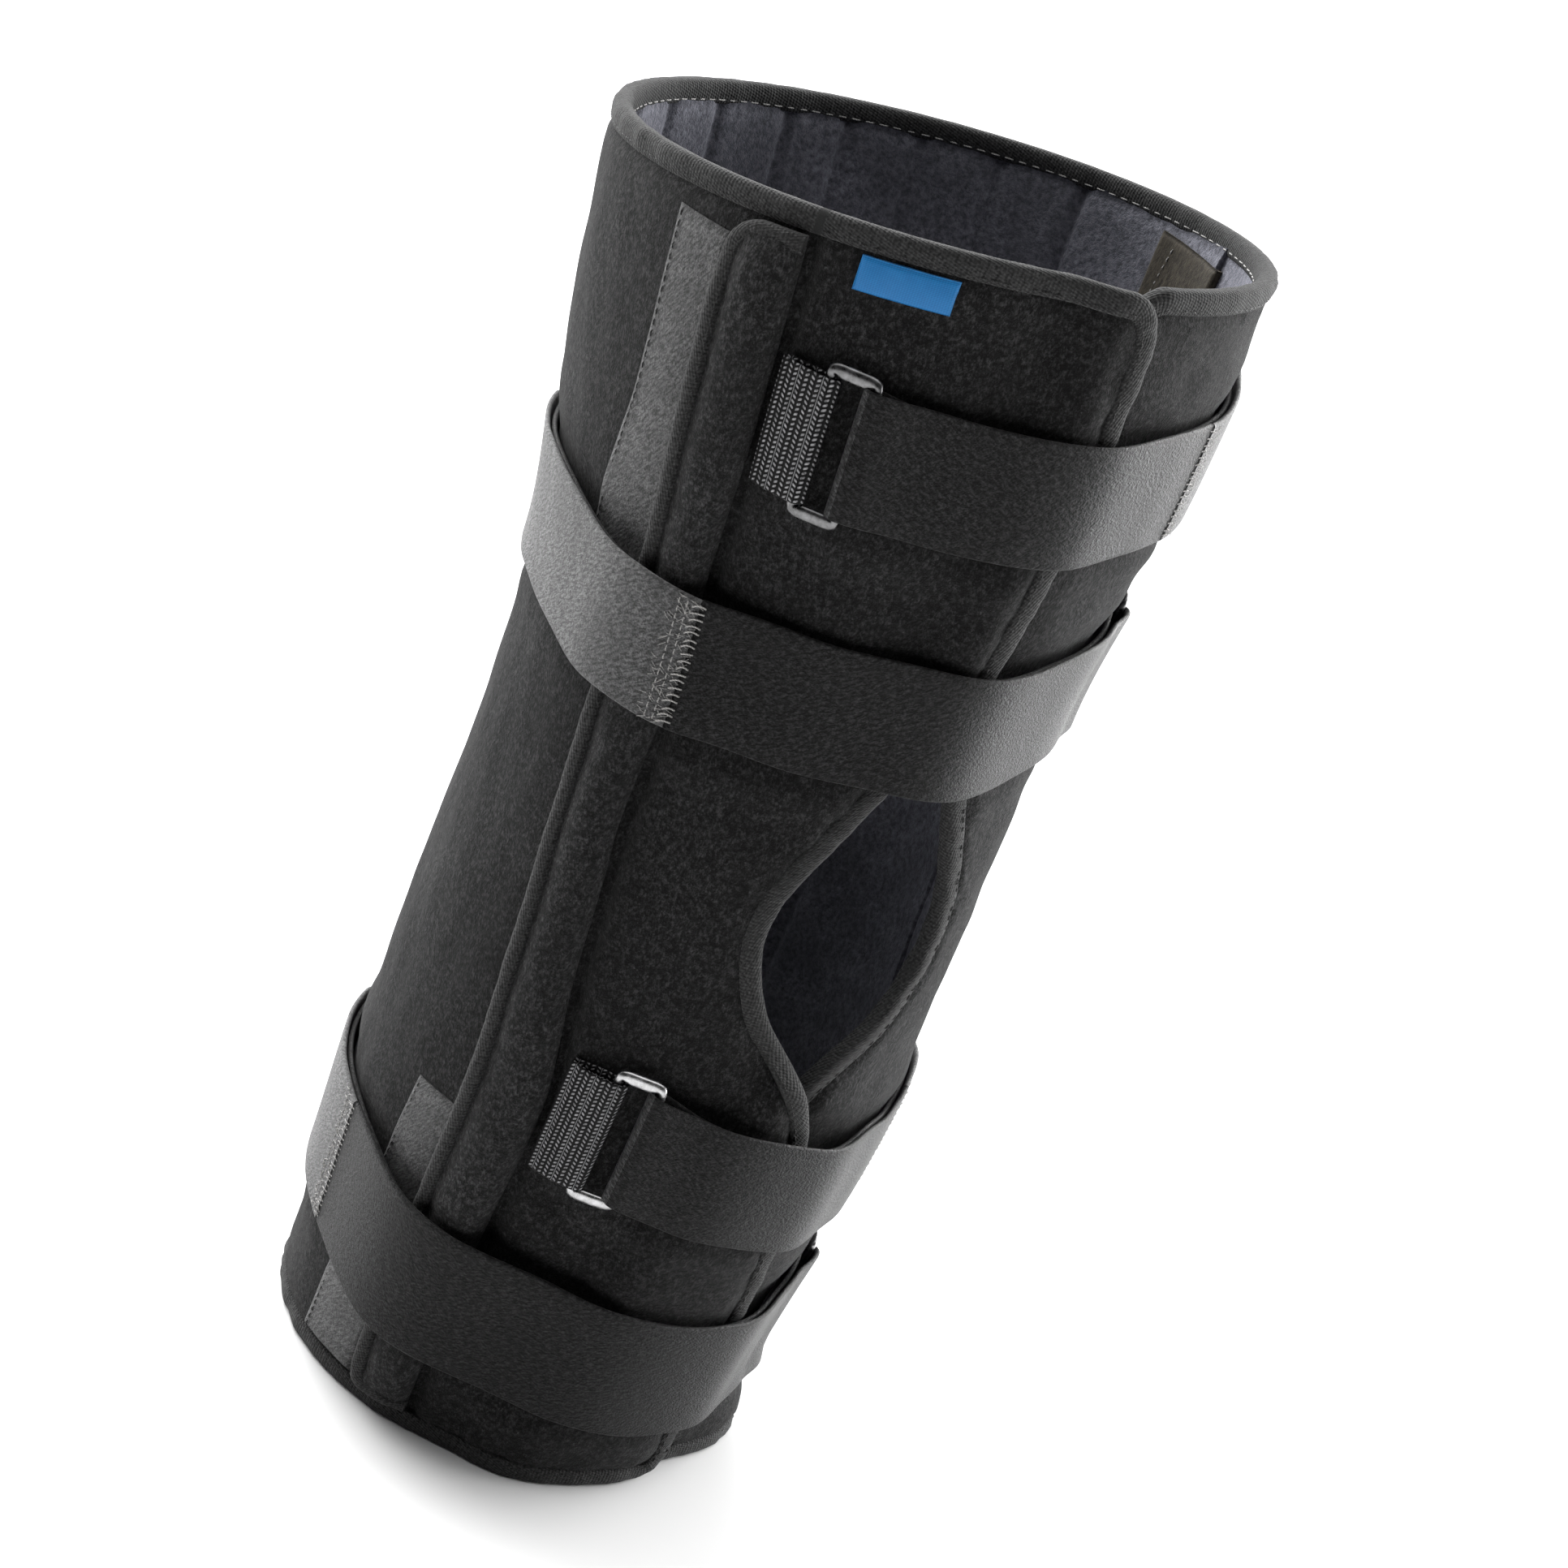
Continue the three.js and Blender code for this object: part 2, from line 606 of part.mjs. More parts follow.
for (const side of [LEFT, RIGHT]) {
  const outer = [];
  const inner = [];
  PAD_ROWS.forEach((share, row) => {
    const end = row === 0 || row === PAD_ROWS.length - 1 ? PAD_END : 1;
    const spots = PAD_COLUMNS.map((column) => ({
      ...padPoint(side, column.across, share, BEAD_WIDTH + GAP),
      top: Math.min(end, column.top),
    }));
    outer.push(spots.map(({ angle, z, top }) => at(angle * side.sign, z, PAD_LIFT + PAD_THICK * top)));
    inner.push(spots.map(({ angle, z }) => at(angle * side.sign, z, PAD_LIFT)));
  });
  add(side.name + "_stay_pad", shell(outer, inner), COLOURS.fabric, 0.95);

  const path = (inset) => {
    const line = [];
    const reach = Math.max(2, CORNER.padTop.along - inset);
    const end = groove(side, HEIGHT) - degrees(PAD_FRONT_GAP, HEIGHT);
    const edgeTop = rear(side, HEIGHT) + degrees(inset, HEIGHT);
    line.push({ angle: end, z: padTopEdge(side, end, inset) });
    for (const phi of [...CORNER_STEPS].reverse()) {
      const angle = edgeTop + degrees(reach * (1 - Math.cos(rad(phi))), HEIGHT);
      const b = Math.max(3, CORNER.padTop.down - inset);
      const top = rim(angle * side.sign) - PAD_TOP_DROP - inset;
      line.push({ angle, z: top - b * (1 - Math.sin(rad(phi))) });
    }
    for (const share of [...PAD_ROWS].reverse().slice(1, -1)) {
      line.push(padPoint(side, 0, share, inset));
    }
    for (const phi of [0, 45, 90]) {
      const a = Math.max(2, CORNER.padBottom.along - inset);
      const b = Math.max(3, CORNER.padBottom.down - inset);
      const angle = rear(side, 0) + degrees(inset + a * (1 - Math.cos(rad(phi))), 0);
      line.push({ angle, z: PAD_BOTTOM_RISE + inset + b * (1 - Math.sin(rad(phi))) });
    }
    line.push({ angle: groove(side, 0) - degrees(PAD_FRONT_GAP, 0), z: PAD_BOTTOM_RISE + inset });
    return line;
  };
  const edge = path(0);
  const inside = path(BEAD_WIDTH);
  const top = PAD_LIFT + PAD_THICK * 0.9;
  const sections = edge.map((p, i) => {
    const spot = (t, off) =>
      at(lerp(p.angle, inside[i].angle, t) * side.sign, lerp(p.z, inside[i].z, t), off);
    const outer = [spot(1, top), spot(0.4, top + 0.5), spot(0, top - 1.8)];
    const under = [spot(0, PAD_LIFT + 1.4), spot(0.4, PAD_LIFT), spot(1, PAD_LIFT)];
    return [...outer, ...under];
  });
  add(side.name + "_pad_binding", sweep(sections, false), COLOURS.binding, 0.85);

  for (const hook of HOOKS) {
    const strip = curve(hook.rows.map((row) => [row.share * HEIGHT, row.angle]));
    const low = hook.rows[0].share * HEIGHT;
    const high = hook.rows[hook.rows.length - 1].share * HEIGHT;
    const count = 7;
    const o = [];
    const n = [];
    for (let i = 0; i < count; i += 1) {
      const z = lerp(low, high, i / (count - 1));
      const from = strip(z) - side.shift;
      const to = Math.min(from + degrees(HOOK_WIDTH, z), rear(side, z) - degrees(2 * GAP, z));
      const cols = [0, 0.5, 1].map((t) => lerp(from, to, t) * side.sign);
      o.push(cols.map((angle) => at(angle, z, 2 * GAP + HOOK_THICK)));
      n.push(cols.map((angle) => at(angle, z, 2 * GAP)));
    }
    add(side.name + "_" + hook.name, shell(o, n), COLOURS.tab, 0.95);
  }
}

// Straps
// How far the outermost face under a strap rises over a pad's middle, and how it falls to the groove
const PAD_CROWN = 1.12;
const PAD_FALL = { from: 0.82, slope: 0.6 };

// Outermost face of everything the straps lie on.
function outerFace(angle, z, padSide) {
  let turn = angle;
  while (turn > 180) turn -= 360;
  while (turn < -180) turn += 360;
  const side = turn < 0 ? LEFT : RIGHT;
  const own = turn * side.sign;
  let face = 0;
  const onFlap = turn > FLAP_FROM && turn < frontAt(z) + 1;
  if (onFlap) face = raise(LEFT, turn, z) + BINDING_PROUD * 0.5;
  if (side !== padSide) return face;
  if (own > rear(side, z) - 1 && own < groove(side, z) - degrees(PAD_FRONT_GAP, z)) {
    const t = (own - rear(side, z)) / (groove(side, z) - rear(side, z));
    face = PAD_LIFT + PAD_THICK * (PAD_CROWN - PAD_FALL.slope * Math.max(0, t - PAD_FALL.from));
  }
  if (own > rear(side, z) - degrees(HOOK_WIDTH, z) && own <= rear(side, z) - 1) face = 2 * GAP + HOOK_THICK;
  return face;
}

// Stand-off of a pulled strap: the convex hull of the outermost face under its width.
function taut(line, half, padSide) {
  const mid = line(0);
  const spots = [];
  for (let angle = -180; angle < 180; angle += 2) {
    const faces = [-1, -0.5, 0, 0.5, 1].map((t) => outerFace(angle, line(angle) + t * half, padSide));
    const r = radius(mid) + Math.max(...faces);
    spots.push([r * Math.sin(rad(angle)), -r * Math.cos(rad(angle))]);
  }
  const sorted = [...spots].sort((a, b) => a[0] - b[0] || a[1] - b[1]);
  const turnOf = (o, a, b) => (a[0] - o[0]) * (b[1] - o[1]) - (a[1] - o[1]) * (b[0] - o[0]);
  const chain = (list) => {
    const hull = [];
    for (const p of list) {
      while (hull.length > 1 && turnOf(hull.at(-2), hull.at(-1), p) <= 0) {
        hull.pop();
      }
      hull.push(p);
    }
    return hull.slice(0, -1);
  };
  const hull = [...chain(sorted), ...chain([...sorted].reverse())];
  return (angle) => {
    const d = [Math.sin(rad(angle)), -Math.cos(rad(angle))];
    for (let i = 0; i < hull.length; i += 1) {
      const a = hull[i];
      const b = hull[(i + 1) % hull.length];
      const cross = d[0] * (b[1] - a[1]) - d[1] * (b[0] - a[0]);
      const s = (a[0] * (b[1] - a[1]) - a[1] * (b[0] - a[0])) / cross;
      const u = (a[0] * d[1] - a[1] * d[0]) / cross;
      if (s > 0 && u >= -1e-6 && u <= 1 + 1e-6) return s - radius(mid);
    }
    return 0;
  };
}

// Angles a strap is built at: close together where it bends over the flap edge or a pad.
function stations(from, to) {
  const fine = 3.5;
  const list = [];
  const low = Math.min(from, to);
  const high = Math.max(from, to);
  for (let k = Math.ceil((low + 1) / fine); k * fine < high - 1; k += 1) {
    const size = Math.abs(k * fine);
    if (size < 27 || (size > 44 && size < 95) || k % 2 === 0) list.push(k * fine);
  }
  const all = [low, ...list, high];
  return from < to ? all : all.reverse();
}

const BASE = STRAP_CLEAR + STRAP_THICK / 2; // middle of the lower layer over the face
const WRAP = WIRE / 2 + RING_GAP + STRAP_THICK / 2; // middle of the strap round the ring bar
const WEB_WRAP = WIRE / 2 + RING_GAP + WEB_THICK / 2;

for (const strap of STRAPS) {
  const line = curve(strap.line.map((row) => [row.angle, row.share * HEIGHT]));
  const toSewn = Math.sign(strap.sewn - strap.ringAt); // direction from the ring to the sewn end
  const wide = strap.width * STRAP_WIDTH;
  const half = wide / 2;
  const face = taut(line, half, toSewn > 0 ? RIGHT : LEFT);
  const reachDeg = (mm) => degrees(mm, line(strap.ringAt)) * toSewn;
  const strapBar = strap.ringAt + reachDeg(RING_REACH / 2);
  const webBar = strap.ringAt - reachDeg(RING_REACH / 2);
  const barOff = BASE + WRAP; // ring middle over the face

  // Path places: angle, stand-off over the pulled face, and the turn of the layer's normal.
  const places = [];
  const lay = (fromAngle, toAngle, offAt, turned) => {
    for (const angle of stations(fromAngle, toAngle)) {
      places.push({ angle, off: offAt(angle), tilt: turned });
    }
  };
  const nearRing = (angle) => ease(1 - Math.abs(angle - strapBar) / Math.abs(reachDeg(16)));
  lay(strap.sewn, strapBar + reachDeg(0.6), () => BASE, 0);
  for (const phi of [30, 60, 90, 120, 150]) {
    places.push({
      angle: strapBar - reachDeg(WRAP * Math.sin(rad(phi))),
      off: barOff - WRAP * Math.cos(rad(phi)),
      tilt: phi,
    });
  }
  const upper = (angle) => BASE + LAYER_STEP + (2 * WRAP - LAYER_STEP) * nearRing(angle);
  lay(strapBar + reachDeg(0.6), strap.seam, upper, 180);
  const section = (place, thick, width) => {
    const z = line(place.angle);
    const slide = Math.sin(rad(place.tilt)) * thick * 0.5;
    const rise = Math.cos(rad(place.tilt)) * thick * 0.5;
    const spot = (edgeSign, skin) => {
      const height = z + (edgeSign * width) / 2;
      return at(place.angle + skin * reachDeg(slide), height, face(place.angle) + place.off + skin * rise);
    };
    return [spot(1, 1), spot(1, -1), spot(-1, -1), spot(-1, 1)];
  };
  add(strap.name, sweep(places.map((p) => section(p, STRAP_THICK, wide)), false), COLOURS.strap, 0.9);

  // Hook tab sewn on the free end, lying on the lower layer.
  const tab = [];
  const tabFrom = strap.seam + reachDeg(GAP * 1.5);
  const tabPlaces = stations(tabFrom, strap.tabEnd);
  tabPlaces.forEach((angle, i) => {
    const taper = i === tabPlaces.length - 1 ? TAB_TAPER : 1;
    tab.push(section({ angle, off: BASE + LAYER_STEP, tilt: 180 }, STRAP_THICK, (wide - 2 * GAP) * taper));
  });
  add(strap.name + "_tab", sweep(tab, false), COLOURS.tab, 0.9);

  // Webbing loop from the groove round the near bar and back.
  const ringZ = line(strap.ringAt);
  const root = (strap.ringAt < 0 ? groove(LEFT, ringZ) : -groove(RIGHT, ringZ)) + reachDeg(1.6);
  const web = [];
  const webPlace = (angle, off, tilt) => web.push({ angle, off, tilt });
  webPlace(root, WEB_THICK / 2 + 2 * GAP, 0);
  webPlace(lerp(root, webBar, 0.55), barOff - WEB_WRAP - 0.6, 0);
  for (const phi of [0, 36, 72, 108, 144, 180]) {
    webPlace(webBar + reachDeg(WEB_WRAP * Math.sin(rad(phi))), barOff - WEB_WRAP * Math.cos(rad(phi)), -phi);
  }
  webPlace(lerp(root, webBar, 0.45), barOff + WEB_WRAP * 0.55, -180);
  webPlace(root, WEB_THICK * 1.5 + 4 * GAP, -180);
  const webSection = (place) => {
    const z = ringZ;
    const slide = Math.sin(rad(place.tilt)) * WEB_THICK * 0.5;
    const rise = Math.cos(rad(place.tilt)) * WEB_THICK * 0.5;
    const width = wide - WEB_THICK;
    const spot = (edgeSign, skin) => {
      const height = z + (edgeSign * width) / 2;
      return at(place.angle + skin * reachDeg(slide), height, face(place.angle) + place.off + skin * rise);
    };
    return [spot(1, 1), spot(1, -1), spot(-1, -1), spot(-1, 1)];
  };
  add(strap.name + "_webbing", sweep(web.map(webSection), false), COLOURS.webbing, 0.8);

  // Rectangular ring with rounded corners.
  const ring = [];
  const halfHigh = half + RING_SLACK + WIRE / 2;
  const halfWide = RING_REACH / 2;
  const bend = RING_BEND;
  const centreLine = [];
  for (const [sx, sz, from] of [[1, 1, 0], [-1, 1, 90], [-1, -1, 180], [1, -1, 270]]) {
    for (const phi of [0, 30, 60, 90]) {
      const turn = rad(from + phi);
      const x = sx * (halfWide - bend) + bend * Math.cos(turn);
      const y = sz * (halfHigh - bend) + bend * Math.sin(turn);
      centreLine.push([x, y]);
    }
  }
  centreLine.forEach(([x, y], i) => {
    const a = centreLine[(i + centreLine.length - 1) % centreLine.length];
    const b = centreLine[(i + 1) % centreLine.length];
    const len = Math.hypot(b[0] - a[0], b[1] - a[1]);
    const out = [(b[1] - a[1]) / len, -(b[0] - a[0]) / len];
    const points = [];
    for (let k = 0; k < 6; k += 1) {
      const turn = rad(k * 60 + 30);
      const px = x + out[0] * Math.cos(turn) * (WIRE / 2);
      const py = y + out[1] * Math.cos(turn) * (WIRE / 2);
      const angle = strap.ringAt + reachDeg(px);
      points.push(at(angle, ringZ + py, face(angle) + barOff + Math.sin(turn) * (WIRE / 2)));
    }
    ring.push(points);
  });
  add(strap.name + "_ring", sweep(ring, true), COLOURS.metal, 0.3, 1);
}

// Label under the rim binding, and the patch inside behind the right hook strip
{
  const o = [];
  const n = [];
  for (const level of [0, 1]) {
    const rowO = [];
    const rowN = [];
    for (let c = 0; c <= 4; c += 1) {
      const angle = lerp(LABEL.from, LABEL.to, c / 4);
      const z = rim(angle) - BINDING_WIDTH - 3 * GAP - LABEL_HEIGHT * (1 - level);
      rowO.push(at(angle, z, 2 * GAP + LABEL_THICK));
      rowN.push(at(angle, z, 2 * GAP));
    }
    o.push(rowO);
    n.push(rowN);
  }
  add("label", shell(o, n), COLOURS.label, 0.45);
}
{
  const o = [];
  const n = [];
  for (const t of [0, 0.5, 1]) {
    const z = lerp(PATCH.low, PATCH.high, t) * HEIGHT;
    const cols = [0, 0.25, 0.5, 0.75, 1].map((u) => lerp(PATCH.from, PATCH.to, u));
    o.push(cols.map((angle) => at(angle, z, -FOAM - 3 * GAP)));
    n.push(cols.map((angle) => at(angle, z, -FOAM - 3 * GAP - HOOK_THICK)));
  }
  add("inner_patch", shell(o, n), COLOURS.patch, 0.95);
}

// The origin is the middle of the box's bottom face.
const box = new THREE.Box3().setFromObject(group);
group.position.set(-(box.min.x + box.max.x) / 2, -(box.min.y + box.max.y) / 2, -box.min.z);

export default group;
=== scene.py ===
# Knee immobilizer: detailed cloth, stitching, materials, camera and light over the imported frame.
# Tables hold millimetres and shares; meshes are made in metres.
# Angles are degrees round the limb: 0 at the front, negative to the left side, positive to the right.
import math

import bpy
import numpy as np
from mathutils import Matrix, Vector


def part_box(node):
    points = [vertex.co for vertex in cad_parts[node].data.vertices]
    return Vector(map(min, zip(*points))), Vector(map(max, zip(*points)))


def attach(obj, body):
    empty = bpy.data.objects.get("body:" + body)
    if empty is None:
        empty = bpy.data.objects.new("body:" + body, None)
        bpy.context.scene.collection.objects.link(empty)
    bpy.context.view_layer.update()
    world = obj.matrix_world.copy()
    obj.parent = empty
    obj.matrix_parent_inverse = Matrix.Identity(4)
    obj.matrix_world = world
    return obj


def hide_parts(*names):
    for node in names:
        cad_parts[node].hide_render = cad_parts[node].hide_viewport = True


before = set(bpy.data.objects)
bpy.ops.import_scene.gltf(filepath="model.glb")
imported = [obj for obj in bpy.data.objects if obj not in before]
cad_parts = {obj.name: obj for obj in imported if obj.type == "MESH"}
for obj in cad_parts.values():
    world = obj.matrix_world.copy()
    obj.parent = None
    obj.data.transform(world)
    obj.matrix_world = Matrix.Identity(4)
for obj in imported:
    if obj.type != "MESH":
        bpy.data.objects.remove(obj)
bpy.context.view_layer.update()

# Sizes of the wrap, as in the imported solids
MM = 0.001
HEIGHT = 400
THIGH_RADIUS = 95
KNEE_FORWARD = 12.4
RIM_TILT = 10
RIM_MEAN = 402
RIM_HIGH_AT = 40
FOAM = 5.2
LINING = 1.4
GAP = 0.3
EDGE_SINK = 0.7
BINDING_WIDTH = 6.5
OVERLAP_RAISE = FOAM + 0.9
OVERLAP_MARGIN = 3
OVERLAP_RAMP = 17
HEM_EASE = dict(longer=0.9, height=50)  # the flap climbs more gently near the hem
GROOVE_DEPTH = 2.2
JOINT_BACK = 5
JOINT_GAP = 2
PAD_THICK = 6.4
PAD_LIFT = 0.7
PAD_TOP_DROP = 7.1
PAD_BOTTOM_RISE = 7
PAD_FRONT_GAP = 1.2
RIGHT_PAD_SHIFT = 18
BEAD_WIDTH = 4.6
HOOK_THICK = 1.0
HOOK_WIDTH = 25
STRAP_THICK = 1.6
STRAP_CLEAR = 0.6
LAYER_STEP = STRAP_THICK + 0.5
WIRE = 2.6
RING_REACH = 12
RING_SLACK = 1.0
RING_GAP = 0.45
RING_BEND = 2.6
WEB_THICK = 1.4
LABEL_THICK = 0.7
LABEL_HEIGHT = 9.2
LABEL_DROP = 0.9  # below the rim's tape
STRAP_WIDTH = 38
STRAP_TUCK = 3  # how much narrower the hidden lower layer is
TAB_TRIM = 0.5
TAB_ROUNDING = 9.0
TAPE_START = 1.2  # from the groove to the front panel's tape

# Share of the height, share of the thigh radius
SECTION = [
    (0, 0.76), (0.125, 0.787), (0.25, 0.826), (0.375, 0.84), (0.5, 0.834), (0.625, 0.832),
    (0.69, 0.836), (0.75, 0.87), (0.81, 0.921), (0.875, 0.958), (1, 0.997), (1.04, 1.003),
]

# Share of the height, then the angles of the pad's rear edge, the groove and the front edge, left side
EDGES = [
    (0, -67, -50.5, 17), (0.14, -67.5, -51, 15), (0.22, -67.2, -50.3, 13.5), (0.33, -67, -49.5, 7),
    (0.38, -67.8, -51.5, 2), (0.415, -68.6, -53.3, -4.5), (0.45, -69.3, -54.5, -14),
    (0.485, -70, -55.3, -19.5), (0.515, -70.8, -56, -21.5), (0.55, -71.2, -57, -19.8),
    (0.6, -71.8, -56.7, -13), (0.65, -72, -56, -6), (0.69, -71, -56, -1), (0.75, -69, -55.5, 2),
    (0.85, -68, -54, 2.8), (1, -68, -54.5, 2.8),
]
REAR, GROOVE, FRONT = 1, 2, 3

# Outward flare of the hem: angle of its middle, degrees to either side, height that it reaches
HEM_FLARE = dict(out=11, angle=46, spread=36, height=36)

# Corner roundings: along the edge row, along the column
TOP_FRONT = (13, 19)
BOTTOM_FRONT = (10, 13)
PAD_TOP = (10, 10)
PAD_BOTTOM = (5, 5)

# Straps: thickness of the overlock thread, width as a share of STRAP_WIDTH, angles of the ring, the seam,
# the tab's end and the sewn end, and the middle line as angle and share of the height
STRAPS = {
    "thigh_strap": dict(
        loop=0.36, width=0.95, ring=-41.3, seam=30, tab=88, sewn=150,
        line=[
            (-60, 0.866), (-40, 0.867), (-20, 0.87), (0, 0.878), (20, 0.887), (40, 0.894), (70, 0.9),
            (150, 0.902),
        ],
    ),
    "above_knee_strap": dict(
        loop=0.5, width=1.015, ring=60, seam=-54, tab=-138, sewn=-152,
        line=[
            (-152, 0.713), (-110, 0.708), (-100, 0.705), (-85, 0.698), (-70, 0.691), (-54, 0.688),
            (-40, 0.688), (-20, 0.692), (0, 0.697), (20, 0.705), (45, 0.713), (70, 0.716),
        ],
    ),
    "below_knee_strap": dict(
        loop=0.4, width=1.04, ring=-34.2, seam=52, tab=108, sewn=150,
        line=[
            (-60, 0.339), (-33, 0.33), (-18, 0.322), (0, 0.313), (14, 0.307), (30, 0.304), (60, 0.299),
            (150, 0.295),
        ],
    ),
    "calf_strap": dict(
        loop=0.3, width=1.24, ring=57, seam=-94, tab=-144, sewn=-154,
        line=[
            (-154, 0.182), (-130, 0.179), (-104, 0.172), (-94, 0.168), (-84, 0.163), (-70, 0.153),
            (-54, 0.146), (-40, 0.142), (-20, 0.132), (0, 0.124), (20, 0.122), (45, 0.121), (70, 0.121),
        ],
    ),
}

# Hook strips behind the pads: share of the height, angle of the outer edge
HOOKS = {
    "upper_hook_strip": [(0.665, -88), (0.75, -85.8), (0.84, -80.6), (0.963, -79.8)],
    "lower_hook_strip": [(0.02, -88.3), (0.088, -87), (0.215, -81.9), (0.288, -80.2)],
}
LABEL_ANGLES = (-46.4, -30.8)
PATCH_ANGLES = (73, 94)
PATCH_SHARES = (0.87, 0.998)
CHANNELS = (115, 133, 149, 164, 177, 194, 209, 225, 241)  # sewn lines of the lining
CHANNEL_DEPTH = 1.9
CHANNEL_WIDTH = 2.3


# Shape of the wrap
def ease(t):
    c = np.clip(t, 0, 1)
    return c * c * (3 - 2 * c)


def fade(distance, width):
    """A soft bell: 1 on a line, fading out over a width beside it."""
    return np.exp(-((distance / width) ** 2))


def curve(rows):
    """Smooth curve through rows of (x, y)."""
    xs = np.array([r[0] for r in rows], float)
    ys = np.array([r[1] for r in rows], float)
    before = np.maximum(np.arange(len(xs)) - 1, 0)
    after = np.minimum(np.arange(len(xs)) + 1, len(xs) - 1)
    slope = (ys[after] - ys[before]) / (xs[after] - xs[before])

    def value(x):
        x = np.asarray(x, float)
        i = np.clip(np.searchsorted(xs, x) - 1, 0, len(xs) - 2)
        h = xs[i + 1] - xs[i]
        t = np.clip((x - xs[i]) / h, -0.2, 1.2)
        a = t * t * (3 - 2 * t)
        rise = t * (1 - t) * (1 - t) * h * slope[i] + t * t * (t - 1) * h * slope[i + 1]
        return ys[i] * (1 - a) + ys[i + 1] * a + rise

    return value


radius = curve([(share * HEIGHT, r * THIGH_RADIUS) for share, r in SECTION])
rear_at = curve([(row[0] * HEIGHT, row[REAR]) for row in EDGES])
groove_at = curve([(row[0] * HEIGHT, row[GROOVE]) for row in EDGES])
front_at = curve([(row[0] * HEIGHT, row[FRONT]) for row in EDGES])


def forward(z):
    return KNEE_FORWARD * np.sin(np.pi * np.clip(np.asarray(z, float) / HEIGHT, 0, 1)) ** 1.2


def rim(angle):
    return RIM_MEAN + RIM_TILT * np.cos(np.radians(angle - RIM_HIGH_AT))


def degrees(mm, z):
    return np.degrees(mm / radius(z))


def arc(deg, z):
    return np.radians(deg) * radius(z)


def flare(angle, z):
    """The hem flares outwards beside the flap, at the right front."""
    beside = 1 - np.abs(angle - HEM_FLARE["angle"]) / HEM_FLARE["spread"]
    return HEM_FLARE["out"] * ease(1 - z / HEM_FLARE["height"]) * ease(beside)


def at(angle, z, off):
    """Points at an angle and height, standing off the wrap's outer face, in millimetres."""
    angle, z, off = np.broadcast_arrays(np.asarray(angle, float), z, off)
    r = radius(z) + off + flare(angle, z)
    turn = np.radians(angle)
    return np.stack([r * np.sin(turn), -r * np.cos(turn) - forward(z), z * 1.0], -1)


def waves(u, v, size, seed):
    """Soft unevenness from a few crossed waves, about -1 to 1."""
    chance = np.random.default_rng(seed)
    total = 0
    for _ in range(7):
        way = chance.uniform(0, 2 * math.pi)
        length = size * chance.uniform(0.7, 1.7)
        start = chance.uniform(0, 2 * math.pi)
        total = total + np.sin((u * math.cos(way) + v * math.sin(way)) * 2 * math.pi / length + start)
    return total / 3.2


# Height and length of the long and the short soft waves of each cloth
UNEVEN = {
    "panel": (0.4, 46, 0.22, 15), "back": (0.35, 52, 0.16, 16), "lining": (0.5, 38, 0.25, 13),
    "pad": (0.28, 40, 0.16, 13), "tape": (0.24, 14, 0.18, 4.5), "bead": (0.18, 14, 0.14, 5),
}


def unevenness(kind, u, v, seed):
    high, long, low, short = UNEVEN[kind]
    return high * waves(u, v, long, seed) + low * waves(u, v, short, seed + 1)


class Side:
    """One side of the wrap: angles are worked out as on the left and mirrored for the right."""

    def __init__(self, name, sign, shift, raised):
        self.name = name
        self.sign = sign
        self.shift = shift
        self.raised = raised

    def groove(self, z):
        return groove_at(z) - self.shift

    def rear(self, z):
        return rear_at(z) - self.shift

    def lift(self, angle, z):
        """How far the left flap climbs over the right flap's hidden edge."""
        if not self.raised:
            return np.zeros(np.broadcast(angle, z).shape)
        full = -front_at(z) - degrees(OVERLAP_MARGIN, z)
        longer = 1 + HEM_EASE["longer"] * ease(1 - z / HEM_EASE["height"])
        ramp = degrees(OVERLAP_RAMP * longer, z)
        return OVERLAP_RAISE * ease((angle - (full - ramp)) / ramp)


LEFT = Side("left", 1, 0, True)
RIGHT = Side("right", -1, RIGHT_PAD_SHIFT, False)


def corner_size(shape, inset):
    return max(2, shape[0] - inset), max(3, shape[1] - inset)


def corner(shape, inset, distance):
    """Quarter-ellipse drop at a distance from an edge."""
    a, b = corner_size(shape, inset)
    t = 1 - np.clip(distance, 0, a) / a
    return b * (1 - np.sqrt(np.maximum(0, 1 - t * t)))


def front_edge(z, inset):
    """Front edge moved inwards by an inset measured square to the edge."""
    step = 4
    lean = arc(front_at(z + step) - front_at(z - step), z) / (2 * step)
    return front_at(z) - degrees(inset * np.hypot(1, lean), z)


def top_edge(side, angle, inset):
    distance = arc(front_at(HEIGHT) - angle, HEIGHT) - inset
    return rim(angle * side.sign) - inset - corner(TOP_FRONT, inset, distance)


def bottom_edge(angle, inset):
    return inset + corner(BOTTOM_FRONT, inset, arc(front_at(0) - angle, 0) - inset)


def panel_point(side, across, share, inset):
    """Angle and height on a front panel: share across from the joint to the front edge, share up."""
    z = share * HEIGHT + 0 * across
    for _ in range(4):
        start = side.groove(z) - degrees(JOINT_BACK - JOINT_GAP, z)
        angle = start + (front_edge(z, inset) - start) * across
        low = bottom_edge(angle, inset)
        z = low + (top_edge(side, angle, inset) - low) * share
    return angle, z


def strap_line(strap):
    return curve([(angle, share * HEIGHT) for angle, share in strap["line"]])


def strap_press(signed_angle, z):
    """The padding gives way under each strap and swells a little beside it."""
    total = 0
    for strap in STRAPS.values():
        turn = (np.asarray(signed_angle, float) + 180) % 360 - 180
        first, last = sorted((strap["sewn"], strap["ring"]))
        along = ease((turn - first + 4) / 8) * ease((last - turn + 4) / 8)
        beyond = np.abs(z - strap_line(strap)(turn)) - strap["width"] * STRAP_WIDTH / 2
        total = total - 0.7 * ease(0.5 - beyond / 6) * along
        total = total + 0.9 * fade(beyond - 9, 6) * along
    return total


